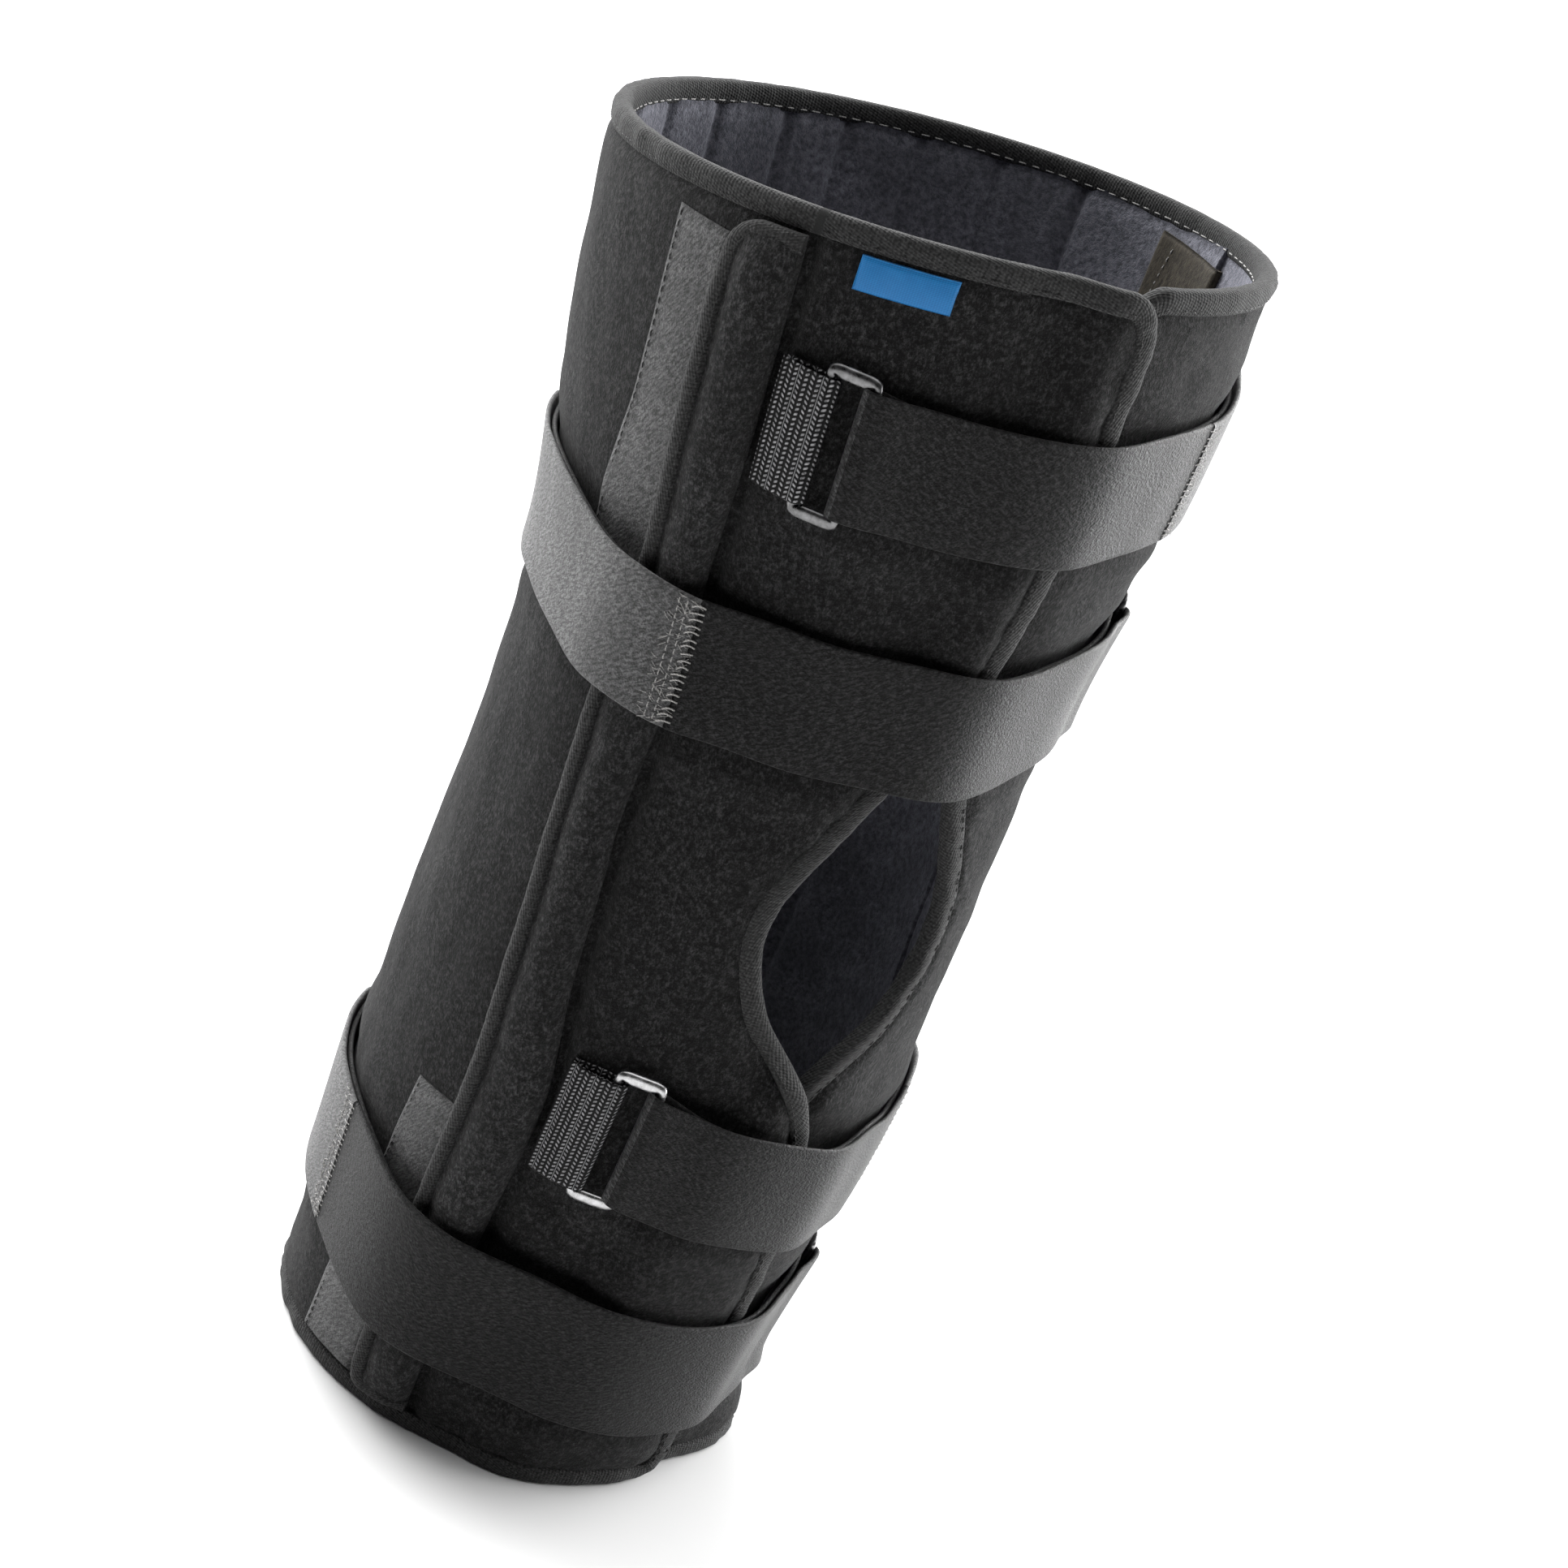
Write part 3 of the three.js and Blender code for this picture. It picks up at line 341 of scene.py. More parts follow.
# Meshes
def placed(name, data):
    """A new object in the scene."""
    made = bpy.data.objects.new(name, data)
    bpy.context.scene.collection.objects.link(made)
    return made


def mesh_object(name, points, faces, weave, material, kinds=None):
    """A mesh piece from points in millimetres; weave gives each point its place on the cloth.

    With kinds, one number for each face, material is a list that they pick from.
    """
    points = (points + AXIS) * MM
    a, b, c, d = np.swapaxes(points[faces], 0, 1)
    if np.sum(a * (np.cross(b, c) + np.cross(c, d))) < 0:
        faces = faces[:, ::-1]
    mesh = bpy.data.meshes.new(name)
    mesh.vertices.add(len(points))
    mesh.vertices.foreach_set("co", points.astype(np.float32).ravel())
    count, size = faces.shape
    mesh.loops.add(count * size)
    mesh.loops.foreach_set("vertex_index", faces.astype(np.int32).ravel())
    mesh.polygons.add(count)
    mesh.polygons.foreach_set("loop_start", np.arange(0, count * size, size, dtype=np.int32))
    mesh.polygons.foreach_set("loop_total", np.full(count, size, np.int32))
    if kinds is not None:
        mesh.polygons.foreach_set("material_index", np.asarray(kinds, np.int32))
    mesh.polygons.foreach_set("use_smooth", np.full(count, True))
    mesh.update(calc_edges=True)
    mesh.validate()
    layer = mesh.attributes.new("weave", "FLOAT_VECTOR", "POINT")
    place = np.zeros((len(points), 3), np.float32)
    place[:, :2] = weave * MM
    layer.data.foreach_set("vector", place.ravel())
    for one in material if kinds is not None else [material]:
        mesh.materials.append(one)
    return placed(name, mesh)


def lengths(points):
    """Running length along the first axis of a line or a grid of points."""
    steps = np.linalg.norm(np.diff(points, axis=0), axis=-1)
    return np.concatenate([np.zeros((1,) + steps.shape[1:]), np.cumsum(steps, axis=0)])


def tube_faces(rows, cols, closed):
    i = np.arange(rows if closed else rows - 1)[:, None]
    j = np.arange(cols)[None, :]
    a, b = (i % rows) * cols, ((i + 1) % rows) * cols
    k = (j + 1) % cols
    return np.stack([a + j, a + k, b + k, b + j], -1).reshape(-1, 4)


def tube(sections, closed=False):
    """Points, faces and weave of a solid swept through closed sections, capped with rounded-over fans."""
    sections = np.asarray(sections, float)
    rows, cols = sections.shape[:2]
    faces = tube_faces(rows, cols, closed)
    points = sections.reshape(-1, 3)
    along = lengths(sections).mean(axis=1)
    around = lengths(np.swapaxes(sections, 0, 1)).mean(axis=1)
    weave = np.stack(np.meshgrid(around, along), -1).reshape(-1, 2)
    if not closed:
        half = cols // 2
        for first, flip in ((0, True), ((rows - 1) * cols, False)):
            j = np.arange(half - 1)
            cap = np.stack([first + j, first + j + 1, first + cols - 2 - j, first + cols - 1 - j], -1)
            faces = np.concatenate([faces, cap[:, ::-1] if not flip else cap])
    return points, faces, weave


def slab(outer, inner):
    """Sections for a solid between an outer and an inner grid of points, rows by columns."""
    return np.concatenate([np.asarray(outer), np.asarray(inner)[:, ::-1]], axis=1)


def finish_piece(piece, node):
    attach(piece, "root")
    if node:
        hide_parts(node)


def swept_piece(name, sections, material, node, closed=False, kinds=None):
    """A piece swept through closed sections, standing for one CAD node; kinds picks from its materials."""
    points, faces, weave = tube(sections, closed)
    if kinds is not None:
        kinds = np.pad(kinds, (0, len(faces) - len(kinds)))
    finish_piece(mesh_object(name, points, faces, weave, material, kinds), node)


def unit(v):
    return v / np.maximum(np.linalg.norm(v, axis=-1, keepdims=True), 1e-9)


def outward_at(angle, z):
    """Direction away from the limb's axis."""
    return unit(at(angle, z, 10) - at(angle, z, 0))


def thread(line, out, thick, sides):
    """Sections of a round thread along a line of points, with the outward directions at each point."""
    way = unit(np.gradient(line, axis=0))
    side = unit(np.cross(way, out))
    up = np.cross(side, way)
    turn = np.arange(sides) * 2 * math.pi / sides
    return (
        line[:, None]
        + side[:, None] * np.cos(turn)[None, :, None] * thick / 2
        + up[:, None] * np.sin(turn)[None, :, None] * thick / 2
    )


# Rows of stitches: pitch, share of it that shows, thickness of the thread
STITCHES = {
    "edge": (3.4, 0.66, 0.42), "lining": (4.4, 0.62, 0.42), "bead": (3.2, 0.68, 0.42),
    "strip": (3.0, 0.6, 0.4), "box": (3.0, 0.66, 0.4), "seam": (2.4, 0.6, 0.36), "patch": (2.6, 0.6, 0.36),
}
STITCH_ARCH = np.array([-0.55, 0.1, 0.32, 0.1, -0.55])  # height over the cloth along one stitch


class Sewing:
    """Collects stitches and makes one mesh piece of them."""

    def __init__(self):
        self.points = []
        self.faces = []
        self.weave = []
        self.count = 0

    def add(self, sections):
        points, faces, weave = tube(sections)
        self.points.append(points)
        self.faces.append(faces + self.count)
        self.weave.append(weave)
        self.count += len(points)

    def run(self, line, out, kind):
        """A row of stitches along a line; out holds the outward directions."""
        pitch, share, thick = STITCHES[kind]
        along = lengths(line)
        count = int(along[-1] / pitch)

        def pick(values, s):
            return np.stack([np.interp(s, along, values[:, k]) for k in range(3)], -1)

        for i in range(count):
            s = (i + 0.5 + np.linspace(-0.5, 0.5, len(STITCH_ARCH)) * share) * pitch
            up = unit(pick(out, s))
            self.add(thread(pick(line, s) + up * STITCH_ARCH[:, None] * thick, up, thick, 5))

    def piece(self, name, material, slot_name):
        made = [np.concatenate(part) for part in (self.points, self.faces, self.weave)]
        finish_piece(mesh_object(name, *made, material), None)


# Materials
CLOTH_INPUTS = {"Ground": (0.01, 0.01, 0.01, 1), "Yarn": (0.05, 0.05, 0.05, 1)}
CLOTH_OUTPUTS = {"Color": "NodeSocketColor", "Roughness": "NodeSocketFloat", "Height": "NodeSocketFloat"}


def group(name, build):
    """A node group for one kind of cloth, built once."""
    tree = bpy.data.node_groups.new(name, "ShaderNodeTree")
    for socket, value in CLOTH_INPUTS.items():
        made = tree.interface.new_socket(name=socket, in_out="INPUT", socket_type="NodeSocketColor")
        made.default_value = value
    for socket, kind in CLOTH_OUTPUTS.items():
        tree.interface.new_socket(name=socket, in_out="OUTPUT", socket_type=kind)
    source = tree.nodes.new("NodeGroupInput")
    target = tree.nodes.new("NodeGroupOutput")
    build(tree, source.outputs, target.inputs)
    return tree


def fill(node, values):
    """Values for the inputs of a node that nothing is linked to."""
    for socket, value in values.items():
        node.inputs[socket].default_value = value


def math_node(tree, operation, a, b=None, c=None):
    node = tree.nodes.new("ShaderNodeMath")
    node.operation = operation
    for place, value in zip(node.inputs, (a, b, c)):
        if value is None:
            continue
        if isinstance(value, (int, float)):
            place.default_value = value
        else:
            tree.links.new(value, place)
    return node.outputs[0]


def times(tree, value, factor, plus=None):
    """A value times a factor, with something added where it is given."""
    return math_node(tree, "MULTIPLY" if plus is None else "MULTIPLY_ADD", value, factor, plus)


def ripple(tree, value, pitch):
    """A sine wave that repeats at a pitch in metres."""
    return math_node(tree, "SINE", times(tree, value, 2 * math.pi / pitch))


def mix_colour(tree, factor, a, b):
    node = tree.nodes.new("ShaderNodeMix")
    node.data_type = "RGBA"
    for place, value in ((node.inputs[0], factor), (node.inputs[6], a), (node.inputs[7], b)):
        if isinstance(value, (int, float, tuple)):
            place.default_value = value
        else:
            tree.links.new(value, place)
    return node.outputs[2]


def dyed(tree, given, share):
    """The ground colour, with a share of the yarn's colour."""
    return mix_colour(tree, share, given["Ground"], given["Yarn"])


def ramp(tree, value, low, high):
    """A value rescaled so that low becomes 0 and high becomes 1, with soft ends."""
    node = tree.nodes.new("ShaderNodeMapRange")
    node.interpolation_type = "SMOOTHSTEP"
    tree.links.new(value, node.inputs["Value"])
    fill(node, {"From Min": low, "From Max": high})
    return node.outputs["Result"]


def noise(tree, place, scale, detail, rough):
    node = tree.nodes.new("ShaderNodeTexNoise")
    tree.links.new(place, node.inputs["Vector"])
    fill(node, {"Scale": scale, "Detail": detail, "Roughness": rough})
    return node.outputs["Fac"]


def stretched(tree, place, x, y, z=1.0):
    node = tree.nodes.new("ShaderNodeVectorMath")
    node.operation = "MULTIPLY"
    tree.links.new(place, node.inputs[0])
    node.inputs[1].default_value = (x, y, z)
    return node.outputs[0]


def body_place(tree):
    return tree.nodes.new("ShaderNodeTexCoord").outputs["Object"]


def cloth_place(tree):
    node = tree.nodes.new("ShaderNodeAttribute")
    node.attribute_name = "weave"
    return node.outputs["Vector"]


def across_and_along(tree, place):
    """The two directions of the cloth, as values in metres."""
    parts = tree.nodes.new("ShaderNodeSeparateXYZ")
    tree.links.new(place, parts.inputs[0])
    return parts.outputs[0], parts.outputs[1]


def put_out(tree, made, colour, roughness, height):
    """Feed a group's outputs; roughness is a value, its span and its base."""
    tree.links.new(colour, made["Color"])
    tree.links.new(times(tree, *roughness), made["Roughness"])
    tree.links.new(height, made["Height"])


def build_pile(tree, given, made):
    """Brushed loop pile: matted tufts, fine light fibres and worn, flattened places."""
    place = body_place(tree)
    tufts = noise(tree, place, 520, 5, 0.78)
    fibres = noise(tree, stretched(tree, place, 1, 1, 0.55), 1500, 3, 0.8)
    lighter_places = noise(tree, place, 26, 3, 0.6)
    lint = noise(tree, place, 1150, 1, 0.4)
    mat = times(tree, ramp(tree, tufts, 0.38, 0.66), ramp(tree, fibres, 0.34, 0.66))
    tone = times(tree, ramp(tree, lighter_places, 0.35, 0.7), 0.28, 0.66)
    base = dyed(tree, given, times(tree, mat, tone))
    speck = times(tree, ramp(tree, lint, 0.7, 0.82), 0.25)
    colour = mix_colour(tree, speck, base, (0.11, 0.11, 0.113, 1))
    put_out(tree, made, colour, (tufts, 0.12, 0.86), times(tree, tufts, 0.7, times(tree, fibres, 0.45)))


def build_plush(tree, given, made):
    """Soft lining nap with crushed patches and tiny glints."""
    place = body_place(tree)
    nap = noise(tree, place, 480, 4, 0.75)
    crushed = noise(tree, place, 42, 3, 0.62)
    glint = noise(tree, place, 1500, 2, 0.6)
    share = times(tree, ramp(tree, crushed, 0.36, 0.68), 0.4, 0.4)
    shade = times(tree, ramp(tree, nap, 0.3, 0.72), share)
    base = dyed(tree, given, shade)
    spark = times(tree, ramp(tree, glint, 0.62, 0.8), 0.35)
    put_out(tree, made, mix_colour(tree, spark, base, (0.16, 0.17, 0.24, 1)), (nap, 0.15, 0.8), nap)


def build_tape(tree, given, made):
    """Knitted tape: short ribs across it, with slanted loops and a fluffy surface."""
    place = cloth_place(tree)
    across, along = across_and_along(tree, place)
    rib = ripple(tree, along, 0.0011)
    slant = times(tree, across, 2 * math.pi / 0.0009, times(tree, along, 2 * math.pi / 0.0022))
    loop = math_node(tree, "SINE", slant)
    fluff = noise(tree, place, 900, 3, 0.7)
    tone = noise(tree, place, 60, 3, 0.6)
    knit = times(tree, rib, 0.25, times(tree, loop, 0.25, 0.5))
    mask = times(tree, ramp(tree, fluff, 0.25, 0.75), times(tree, knit, 0.6, 0.4))
    share = times(tree, mask, times(tree, tone, 0.6, 0.6))
    put_out(tree, made, dyed(tree, given, share), (fluff, 0.15, 0.78), times(tree, knit, 0.6, fluff))


def slanted(tree, place, turn, x, y):
    """A place turned in the cloth's plane, then stretched."""
    slant = tree.nodes.new("ShaderNodeVectorRotate")
    slant.rotation_type = "Z_AXIS"
    slant.inputs["Angle"].default_value = math.radians(turn)
    tree.links.new(place, slant.inputs["Vector"])
    return stretched(tree, slant.outputs[0], x, y)


def build_strap(tree, given, made):
    """Fine brushed knit of the straps: short slanted yarns, closely set."""
    place = cloth_place(tree)
    yarns = noise(tree, slanted(tree, place, 28, 1, 0.38), 1150, 4, 0.75)
    loops = noise(tree, slanted(tree, place, -40, 1, 0.6), 1500, 3, 0.7)
    tone = noise(tree, place, 30, 3, 0.6)
    mask = times(tree, ramp(tree, yarns, 0.4, 0.64), ramp(tree, loops, 0.3, 0.62))
    share = times(tree, mask, times(tree, ramp(tree, tone, 0.3, 0.7), 0.3, 0.8))
    put_out(tree, made, dyed(tree, given, share), (loops, 0.2, 0.34), times(tree, yarns, 0.8, loops))


def build_hook(tree, given, made):
    """Hook tape: slanted rows of little hooks in faint bands across the tape."""
    place = cloth_place(tree)
    rows = noise(tree, slanted(tree, place, 38, 1, 0.3), 1250, 3, 0.7)
    hooks = noise(tree, slanted(tree, place, -30, 1, 0.7), 1700, 3, 0.75)
    bands = noise(tree, stretched(tree, place, 0.3, 1), 120, 3, 0.6)
    mask = times(tree, ramp(tree, rows, 0.36, 0.62), ramp(tree, hooks, 0.3, 0.62))
    tone = times(tree, ramp(tree, bands, 0.34, 0.66), 0.45, 0.7)
    colour = dyed(tree, given, times(tree, mask, tone))
    put_out(tree, made, colour, (hooks, 0.2, 0.5), times(tree, rows, 0.9, hooks))


WEB_COLUMN = 0.0017
WEB_STITCH = 0.00135
WEB_LEAN = 2400


def build_webbing(tree, given, made):
    """Ribbed webbing: columns along the bar with slanted light yarns, leaning left and right in turn."""
    place = cloth_place(tree)
    across, along = across_and_along(tree, place)
    turns = times(tree, along, math.pi / WEB_COLUMN)
    rib = math_node(tree, "ABSOLUTE", math_node(tree, "SINE", turns))
    lean = times(tree, math_node(tree, "PINGPONG", along, WEB_COLUMN), WEB_LEAN)
    beads = math_node(tree, "SINE", times(tree, across, 2 * math.pi / WEB_STITCH, lean))
    bead = times(tree, times(tree, beads, 0.5, 0.5), ramp(tree, rib, 0.3, 0.9))
    uneven = noise(tree, place, 900, 3, 0.7)
    cord = ramp(tree, math_node(tree, "SINE", times(tree, turns, 0.5)), 0.985, 1.0)
    shown = times(tree, ramp(tree, bead, 0.3, 0.75), ramp(tree, uneven, 0.2, 0.62))
    share = math_node(tree, "MAXIMUM", shown, times(tree, cord, 0.5))
    relief = times(tree, bead, 0.7, times(tree, rib, 0.5))
    put_out(tree, made, dyed(tree, given, share), (bead, -0.2, 0.72), relief)


def build_wire(tree, given, made):
    """Plated wire: faint draw lines, rubbed spots and a little tarnish."""
    place = body_place(tree)
    lines = noise(tree, stretched(tree, place, 1, 1, 0.12), 2600, 2, 0.6)
    spots = noise(tree, place, 380, 4, 0.65)
    colour = dyed(tree, given, ramp(tree, spots, 0.35, 0.7))
    rough = times(tree, ramp(tree, spots, 0.3, 0.7), 0.14, 0.2)
    put_out(tree, made, colour, (lines, 0.08, rough), lines)


def build_satin(tree, given, made):
    """Woven satin: fine weft lines across, a faint warp and a soft cloudy tone."""
    place = cloth_place(tree)
    across, along = across_and_along(tree, place)
    weft = ripple(tree, along, 0.00045)
    warp = ripple(tree, across, 0.0007)
    cloud = noise(tree, place, 210, 3, 0.6)
    weave = times(tree, weft, 0.22, times(tree, warp, 0.12, 0.5))
    share = times(tree, weave, times(tree, cloud, 0.9, 0.6))
    put_out(tree, made, dyed(tree, given, share), (weave, 0.2, 0.3), weave)


def build_felt(tree, given, made):
    """Pressed backing cloth with short crossed fibres."""
    place = body_place(tree)
    fibres = noise(tree, stretched(tree, place, 1, 1, 0.4), 1100, 4, 0.75)
    cloud = noise(tree, place, 70, 3, 0.6)
    share = times(tree, ramp(tree, fibres, 0.3, 0.7), times(tree, cloud, 0.8, 0.4))
    put_out(tree, made, dyed(tree, given, share), (fibres, 0.15, 0.75), fibres)


PLY_PITCH = 0.0008


def build_twist(tree, given, made):
    """Sewing thread: two plies twisted round each other."""
    place = cloth_place(tree)
    across, along = across_and_along(tree, place)
    turn = times(tree, along, 2 * math.pi / PLY_PITCH, times(tree, across, 2 * math.pi / PLY_PITCH))
    ply = times(tree, math_node(tree, "SINE", turn), 0.5, 0.5)
    fuzz = noise(tree, place, 2400, 2, 0.6)
    colour = dyed(tree, given, times(tree, ply, fuzz))
    put_out(tree, made, colour, (fuzz, 0.2, 0.5), ply)


WHITE = (1, 1, 1, 1)
SHEEN_ROUGHNESS = 0.55


def cloth(name, shared, ground, yarn, bump_mm, strength, sheen=0.0, tint=WHITE, matt=0.5, metal=0.0):
    """A material that feeds a shared group's colour, roughness and height into its own shader."""
    made = bpy.data.materials.new(name)
    made.use_nodes = True
    tree = made.node_tree
    tree.nodes.clear()
    surface = tree.nodes.new("ShaderNodeBsdfPrincipled")
    target = tree.nodes.new("ShaderNodeOutputMaterial")
    effect = tree.nodes.new("ShaderNodeGroup")
    effect.node_tree = shared
    fill(effect, {"Ground": (*ground, 1), "Yarn": (*yarn, 1)})
    bump = tree.nodes.new("ShaderNodeBump")
    fill(bump, {"Distance": bump_mm * MM, "Strength": strength})
    tree.links.new(effect.outputs["Height"], bump.inputs["Height"])
    tree.links.new(bump.outputs["Normal"], surface.inputs["Normal"])
    tree.links.new(effect.outputs["Color"], surface.inputs["Base Color"])
    tree.links.new(effect.outputs["Roughness"], surface.inputs["Roughness"])
    fill(surface, {"Sheen Weight": sheen, "Sheen Roughness": SHEEN_ROUGHNESS, "Sheen Tint": tint})
    fill(surface, {"Specular IOR Level": matt, "Metallic": metal})
    tree.links.new(surface.outputs["BSDF"], target.inputs["Surface"])
    return made


def grey(value, blue=1.0):
    return (value, value, value * blue)


pile = group("brushed_pile", build_pile)
plush = group("lining_plush", build_plush)
tape = group("knitted_tape", build_tape)
knit = group("strap_knit", build_strap)
hook_rows = group("hook_rows", build_hook)
ribs = group("ribbed_webbing", build_webbing)
wire_finish = group("plated_wire", build_wire)
satin = group("label_satin", build_satin)
felt = group("patch_felt", build_felt)
twist = group("thread_twist", build_twist)

pile_cloth = cloth("foam_pile_cloth", pile, grey(0.0028), grey(0.05, 1.02), 1.2, 1.0, 0.05, matt=0.07)
pad_cloth = cloth("pad_pile_cloth", pile, grey(0.0045), grey(0.074, 1.02), 1.2, 1.0, 0.05, matt=0.08)
lining_cloth = cloth(
    "lining_plush_cloth", plush, (0.041, 0.0415, 0.049), (0.2, 0.201, 0.234), 1.0, 0.8, 0.25,
    tint=(0.85, 0.87, 1, 1), matt=0.1,
)
tape_cloth = cloth("edge_tape_cloth", tape, grey(0.007), grey(0.062), 0.5, 0.9, 0.05, matt=0.08)
strap_cloth = cloth("strap_knit_cloth", knit, grey(0.0013), grey(0.032, 1.02), 0.8, 1.0, 0.03, matt=0.08)
# Lighter copy of the strap knit for the fold round the ring's bar: partly wear, partly a painted highlight
# where the fold faces the left light
fold_wear_and_highlight_cloth = cloth("strap_fold_cloth", knit, grey(0.009), grey(0.1, 1.02), 0.8, 1.0, 0.05, matt=0.1)
tab_cloth = cloth("tab_hook_cloth", hook_rows, grey(0.02), grey(0.14, 1.01), 0.7, 1.0, 0.12, matt=0.15)
strip_cloth = cloth(
    "strip_hook_cloth", hook_rows, grey(0.018), grey(0.13, 1.01), 0.7, 1.0, 0.12, matt=0.15
)
web_cloth = cloth("webbing_cloth", ribs, grey(0.004), grey(0.3, 1.03), 0.6, 1.0, matt=0.15)
dark_wire = cloth("ring_gunmetal", wire_finish, grey(0.09), grey(0.18, 1.02), 0.05, 0.2, metal=1.0)
light_wire = cloth("ring_bright", wire_finish, grey(0.32), grey(0.5, 1.02), 0.05, 0.2, metal=1.0)
label_cloth = cloth(
    "label_satin_cloth", satin, (0.004, 0.07, 0.21), (0.012, 0.165, 0.41), 0.12, 0.5, 0.03, matt=0.2
)
patch_cloth = cloth(
    "patch_felt_cloth", felt, (0.016, 0.0136, 0.01), (0.068, 0.0575, 0.042), 0.4, 0.6, 0.05, matt=0.1
)
dark_thread = cloth("thread_dark", twist, grey(0.012), grey(0.05), 0.15, 0.6, matt=0.15)
light_thread = cloth(
    "thread_light", twist, (0.2, 0.196, 0.19), (0.6, 0.59, 0.57), 0.15, 0.6, matt=0.25
)


# Outlines
def outline(side, inset, way, edges, starts, margins, corners, middle, counts):
    """Angles and heights of an outline: along its top, down one side edge, back along its foot.

    Edges, starts, margins, corners and counts are for the top and the foot: angle of the side edge, angle
    where the line starts, distance from rim or hem, rounding, and number of places; way is inwards.
    """
    quarter = np.radians(np.linspace(90, 0, 14))
    angles, heights = [], []
    for z, edge, start, margin, shape, count in zip((HEIGHT, 0), edges, starts, margins, corners, counts):
        a, b = corner_size(shape, inset)
        turned = edge + way * degrees(inset + a * (1 - np.cos(quarter)), z)
        angle = np.concatenate([np.linspace(start, turned[0], count)[:-1], turned])
        drop = margin + inset + np.concatenate([np.zeros(count - 1), b * (1 - np.sin(quarter))])
        angles.append(angle)
        heights.append(rim(angle * side.sign) - drop if z else drop)
    angle = np.concatenate([angles[0], middle[0], angles[1][::-1]])
    return angle, np.concatenate([heights[0], middle[1], heights[1][::-1]])


def front_outline(side, inset):
    """One front panel's outline: rim, top corner, front edge, bottom corner, hem."""
    edges = (front_at(HEIGHT), front_at(0))
    starts = [side.groove(z) + degrees(TAPE_START, z) for z in (HEIGHT, 0)]
    middle = panel_point(side, 1.0, np.linspace(1, 0, 190)[1:-1], inset)
    return outline(side, inset, -1, edges, starts, (0, 0), (TOP_FRONT, BOTTOM_FRONT), middle, (32, 32))


def whole_outline(inset):
    """The whole binding's line: signed angles, heights and the lift of the panel below."""
    left, left_z = front_outline(LEFT, inset)
    right, right_z = front_outline(RIGHT, inset)
    hem = np.linspace(360 + left[-1], -right[-1], 150)[1:-1]
    back = np.linspace(-right[0], 360 + left[0], 170)[1:-1]
    parts = [
        (left, left_z, LEFT.lift(left, left_z)),
        (hem, 0 * hem + inset, 0 * hem),
        (-right[::-1], right_z[::-1], 0 * right),
        (back, rim(back) - inset, 0 * back),
    ]
    return tuple(np.concatenate(column) for column in zip(*parts))


def between(edge, inner, share):
    """Angles and heights at a share of the way from an outline to one further inwards."""
    return edge[0] + (inner[0] - edge[0]) * share, edge[1] + (inner[1] - edge[1]) * share


# The limb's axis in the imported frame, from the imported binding's box
edge_line = whole_outline(0)
own = at(edge_line[0], edge_line[1], edge_line[2] - 0.4)
packed_low, packed_high = (np.array(end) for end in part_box("edge_binding"))
AXIS = (packed_low + packed_high) / 2 / MM - (own.min(axis=0) + own.max(axis=0)) / 2
AXIS[2] = 0

sewing = Sewing()
bright_sewing = Sewing()

# Tape section: share of the tape's width from the edge inwards, stand-off from the panel's face,
# measured from the outer face for the first half and from the inner face for the second
TAPE_OUTER = [
    (1.0, -1.6), (1.0, -0.25), (0.93, 0.1), (0.72, 0.28), (0.45, 0.42), (0.22, 0.2), (0.06, -0.5), (0, -1.5),
]
TAPE_INNER = [(0, 1.5), (0.06, 0.5), (0.22, -0.1), (0.5, -0.3), (0.85, -0.2), (1.0, 0.2), (1.0, 1.6)]
TAPE_RAISE = 0.3
TAPE_SEAM = 0.8  # share of the tape's width where it is stitched


def edge_binding():
    edge = whole_outline(0)
    inner = whole_outline(BINDING_WIDTH)
    line = at(edge[0], edge[1], edge[2])
    along = lengths(line)
    pucker = unevenness("tape", along, 0, 3)
    rows = []
    for share, off in TAPE_OUTER:
        soft = pucker * (1 if share < 0.9 else 0.3)
        rows.append((share, edge[2] + off - EDGE_SINK + TAPE_RAISE + soft))
    for share, off in TAPE_INNER:
        rows.append((share, edge[2] + off - FOAM - 0.1 - pucker * 0.6))
    sections = []
    for share, off in rows:
        angle, z = between(edge, inner, share)
        sections.append(at(angle, np.maximum(z, 0.0), off))
    sections = np.stack(sections, 1)
    swept_piece("edge_binding_tape", sections, tape_cloth, "edge_binding", closed=True)
    angle, z = between(edge, inner, TAPE_SEAM)
    outward = outward_at(angle, z)
    sewing.run(at(angle, z, edge[2] - EDGE_SINK + TAPE_RAISE + 0.2), outward, "edge")
    bright_sewing.run(at(angle, z, edge[2] - FOAM - 0.35), -outward, "lining")


edge_binding()

# Panels
UNDER_TAPE = BINDING_WIDTH - 2.2  # the panel's edge lies under the tape
SEWN_DEPTH = 1.5  # how far the cloth is drawn in beside the tape
SEWN_WIDTH = 3.4
GROOVE_DRAW = 1.35  # the thread draws the groove deeper than the solid's


